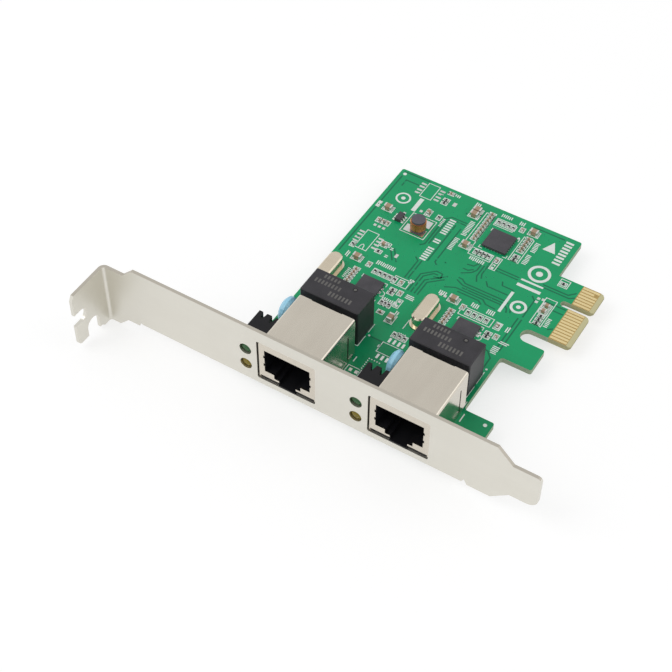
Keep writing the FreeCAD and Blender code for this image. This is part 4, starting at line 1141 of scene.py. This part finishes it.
@dataclass
class ModulePrint:
    """Faint plain bars and a pin dot on the tops of the two magnetics modules."""

    lift: float = 0.01 * MM
    pitch: float = 0.95 * MM
    wide: float = 0.5 * MM
    dot: float = 0.4 * MM
    dot_place: Spot = (0.72, 0.8)
    rows: tuple[Area, ...] = (
        (0.19, 0.48, 0.74, 0.88), (0.10, 0.60, 0.48, 0.64), (0.42, 0.83, 0.18, 0.36))

    def build(self) -> None:
        """Prints both tops."""
        for number in (1, 2):
            low, high = (Vector(corner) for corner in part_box(f"magnetics_{number}"))
            size = high - low
            layer = Layer(f"module_print_{number}", high.z + self.lift, Finish.FADED_INK,
                          "epoxy_black")
            for x0, x1, y0, y1 in self.rows:
                for step in range(int((x1 - x0) * size.x / self.pitch)):
                    left = low.x + size.x * x0 + step * self.pitch
                    layer.plate(left, left + self.wide, low.y + size.y * y0,
                                low.y + size.y * y1)
            across, inward = self.dot_place
            layer.disc((low.x + size.x * across, low.y + size.y * inward), self.dot, 20)
            layer.close()


@dataclass
class CardParts:
    """The frame nodes and the finish that each one wears."""

    worn: dict[Finish, tuple[str, ...]] = field(default_factory=lambda: {
        Finish.BRACKET: ("bracket",), Finish.SCREW: ("bracket_screw",),
        Finish.BOARD: ("circuit_board",), Finish.GOLD: ("edge_contacts", "jack_contacts"),
        Finish.SHIELD: ("jack_shield",), Finish.BLACK: ("jack_housing", "led_holder"),
        Finish.GREEN_LAMP: ("led_green",), Finish.YELLOW_LAMP: ("led_yellow",),
        Finish.EPOXY: ("magnetics",), Finish.DIPPED: ("blue_capacitor",),
        Finish.CAN: ("crystal_base", "crystal_can"), Finish.FERRITE: ("inductor_core",),
        Finish.COPPER: ("inductor_winding",), Finish.RESISTOR: ("chip_resistors",),
        Finish.CHIP: ("voltage_regulator", "switch_chip", "lan_controller"),
        Finish.CERAMIC: ("chip_capacitors", "medium_chip_capacitors", "large_chip_capacitors"),
        Finish.TIN: ("jack_pins", "led_leads", "magnetics_pins", "capacitor_leads",
                     "crystal_leads", "regulator_leads", "chip_end_caps")})

    def finish_of(self, node: str) -> Finish:
        """Picks the finish of a node by the longest name that begins it.

        Args:
            node: The node's name.

        Returns:
            Its finish.
        """
        if node.endswith("_lands"):
            return Finish.TIN
        fits = {name: finish for finish, names in self.worn.items() for name in names
                if node.startswith(name)}
        return fits[max(fits, key=len)]

    def build(self) -> None:
        """Dresses every node of the frame."""
        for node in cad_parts:
            dress(node, self.finish_of(node))


@dataclass(frozen=True)
class SoftLamp:
    """One soft square lamp that looks at the card."""

    name: str
    place: Triple
    size: float
    power: float
    aim: Triple = (0.0, 0.03, 0.0)

    def build(self) -> None:
        """Hangs the lamp."""
        light = bpy.data.lights.new(self.name, "AREA")
        light.energy = self.power
        light.size = self.size
        lamp = bpy.data.objects.new(self.name, light)
        look = Vector(self.aim) - Vector(self.place)
        turn = look.to_track_quat("-Z", "Y").to_matrix().to_4x4()
        lamp.matrix_world = Matrix.Translation(self.place) @ turn
        bpy.context.scene.collection.objects.link(lamp)


@dataclass
class Studio:
    """Floor, world, lamps and the camera, whose angles are in degrees and lens in millimetres."""

    azimuth: float = 31.39
    elevation: float = 49.17
    roll: float = 0.37
    lens: float = 81.29
    sensor: float = 36.0
    near_clip: float = 0.01
    camera_place: Triple = (0.11255, -0.18706, 0.28223)
    sky: float = 0.62
    zenith: float = 0.74
    gradient: Spot = (0.15, 1.0)
    white: Colour = (1.0, 1.0, 1.0)
    floor_reach: float = 3.0
    floor_colour: Colour = (0.42, 0.42, 0.42)
    floor_glow: float = 0.66
    lamps: tuple[SoftLamp, ...] = (
        SoftLamp("key_lamp", (-0.45, -0.35, 0.75), 0.55, 1.9),
        SoftLamp("fill_lamp", (0.6, 0.35, 0.6), 0.6, 0.8))

    def build(self) -> None:
        """Builds the whole studio."""
        self.build_floor()
        self.build_world()
        for lamp in self.lamps:
            lamp.build()
        self.build_camera()
        bpy.context.scene.view_settings.view_transform = "Standard"
        LOG.info("built the studio")

    def build_floor(self) -> None:
        """Lays a pale floor under the card's lowest point."""
        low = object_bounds()[0][2]
        reach = self.floor_reach
        mesh = bpy.data.meshes.new("floor")
        corners = [(-reach, -reach, low), (reach, -reach, low), (reach, reach, low),
                   (-reach, reach, low)]
        mesh.from_pydata(corners, [], [(0, 1, 2, 3)])
        mesh.materials.append(self.paper())
        floor = bpy.data.objects.new("floor", mesh)
        bpy.context.scene.collection.objects.link(floor)
        floor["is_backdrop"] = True

    def paper(self) -> bpy.types.Material:
        """Returns the floor's finish, which is white where it is looked at, apart from shadow."""
        maker = Surface("floor_paper")
        matt = maker.flow("ShaderNodeBsdfDiffuse", 0, inputs={"Color": self.floor_colour})
        light = {"Color": self.white, "Strength": self.floor_glow}
        glow = maker.flow("ShaderNodeEmission", 0, inputs=light)
        lit = maker.flow("ShaderNodeAddShader", 0, inputs={0: matt, 1: glow})
        both = maker.flow("ShaderNodeMixShader", 0, inputs={0: maker.seen(), 1: matt, 2: lit})
        maker.node("ShaderNodeOutputMaterial", inputs={"Surface": both})
        return maker.material

    def build_world(self) -> None:
        """Lights the card evenly, and shows white behind it and a soft falloff in its metal."""
        world = bpy.data.worlds.new("studio")
        bpy.context.scene.world = world
        maker = Maker(world)
        glossy = maker.flow("ShaderNodeLightPath", "Is Glossy Ray")
        place = maker.flow("ShaderNodeTexCoord", "Generated")
        high = maker.axis(place, "Z").between(*self.gradient)
        light, horizon, zenith = (
            maker.flow("ShaderNodeBackground", 0, inputs={"Color": self.white, "Strength": glow})
            for glow in (self.sky, 1.0, self.zenith))
        shown = maker.flow("ShaderNodeMixShader", 0,
                           inputs={0: high * glossy, 1: horizon, 2: zenith})
        both = maker.flow("ShaderNodeMixShader", 0, inputs={0: maker.seen(), 1: light, 2: shown})
        maker.node("ShaderNodeOutputWorld", inputs={"Surface": both})

    def build_camera(self) -> None:
        """Sets the camera at its angle and makes it the scene's own."""
        azimuth, elevation, roll = (
            math.radians(angle) for angle in (self.azimuth, self.elevation, self.roll))
        turn = (Matrix.Rotation(azimuth, 4, "Z")
                @ Matrix.Rotation(math.pi / 2 - elevation, 4, "X")
                @ Matrix.Rotation(roll, 4, "Z"))
        data = bpy.data.cameras.new("camera")
        data.lens = self.lens
        data.sensor_width = self.sensor
        data.clip_start = self.near_clip
        camera = bpy.data.objects.new("camera", data)
        camera.matrix_world = Matrix.Translation(self.camera_place) @ turn
        bpy.context.scene.collection.objects.link(camera)
        bpy.context.scene.camera = camera


def main() -> None:
    """Builds every sub-assembly and then the studio."""
    logging.basicConfig(level=logging.INFO, format="%(message)s")
    for assembly in (CardParts(), Traces(), Lands(), Vias(), BoardPrint(), SolderJoints(),
                     ChipEnds(), LampDomes(), ModulePrint(), Studio()):
        assembly.build()


if __name__ == "__main__":
    main()
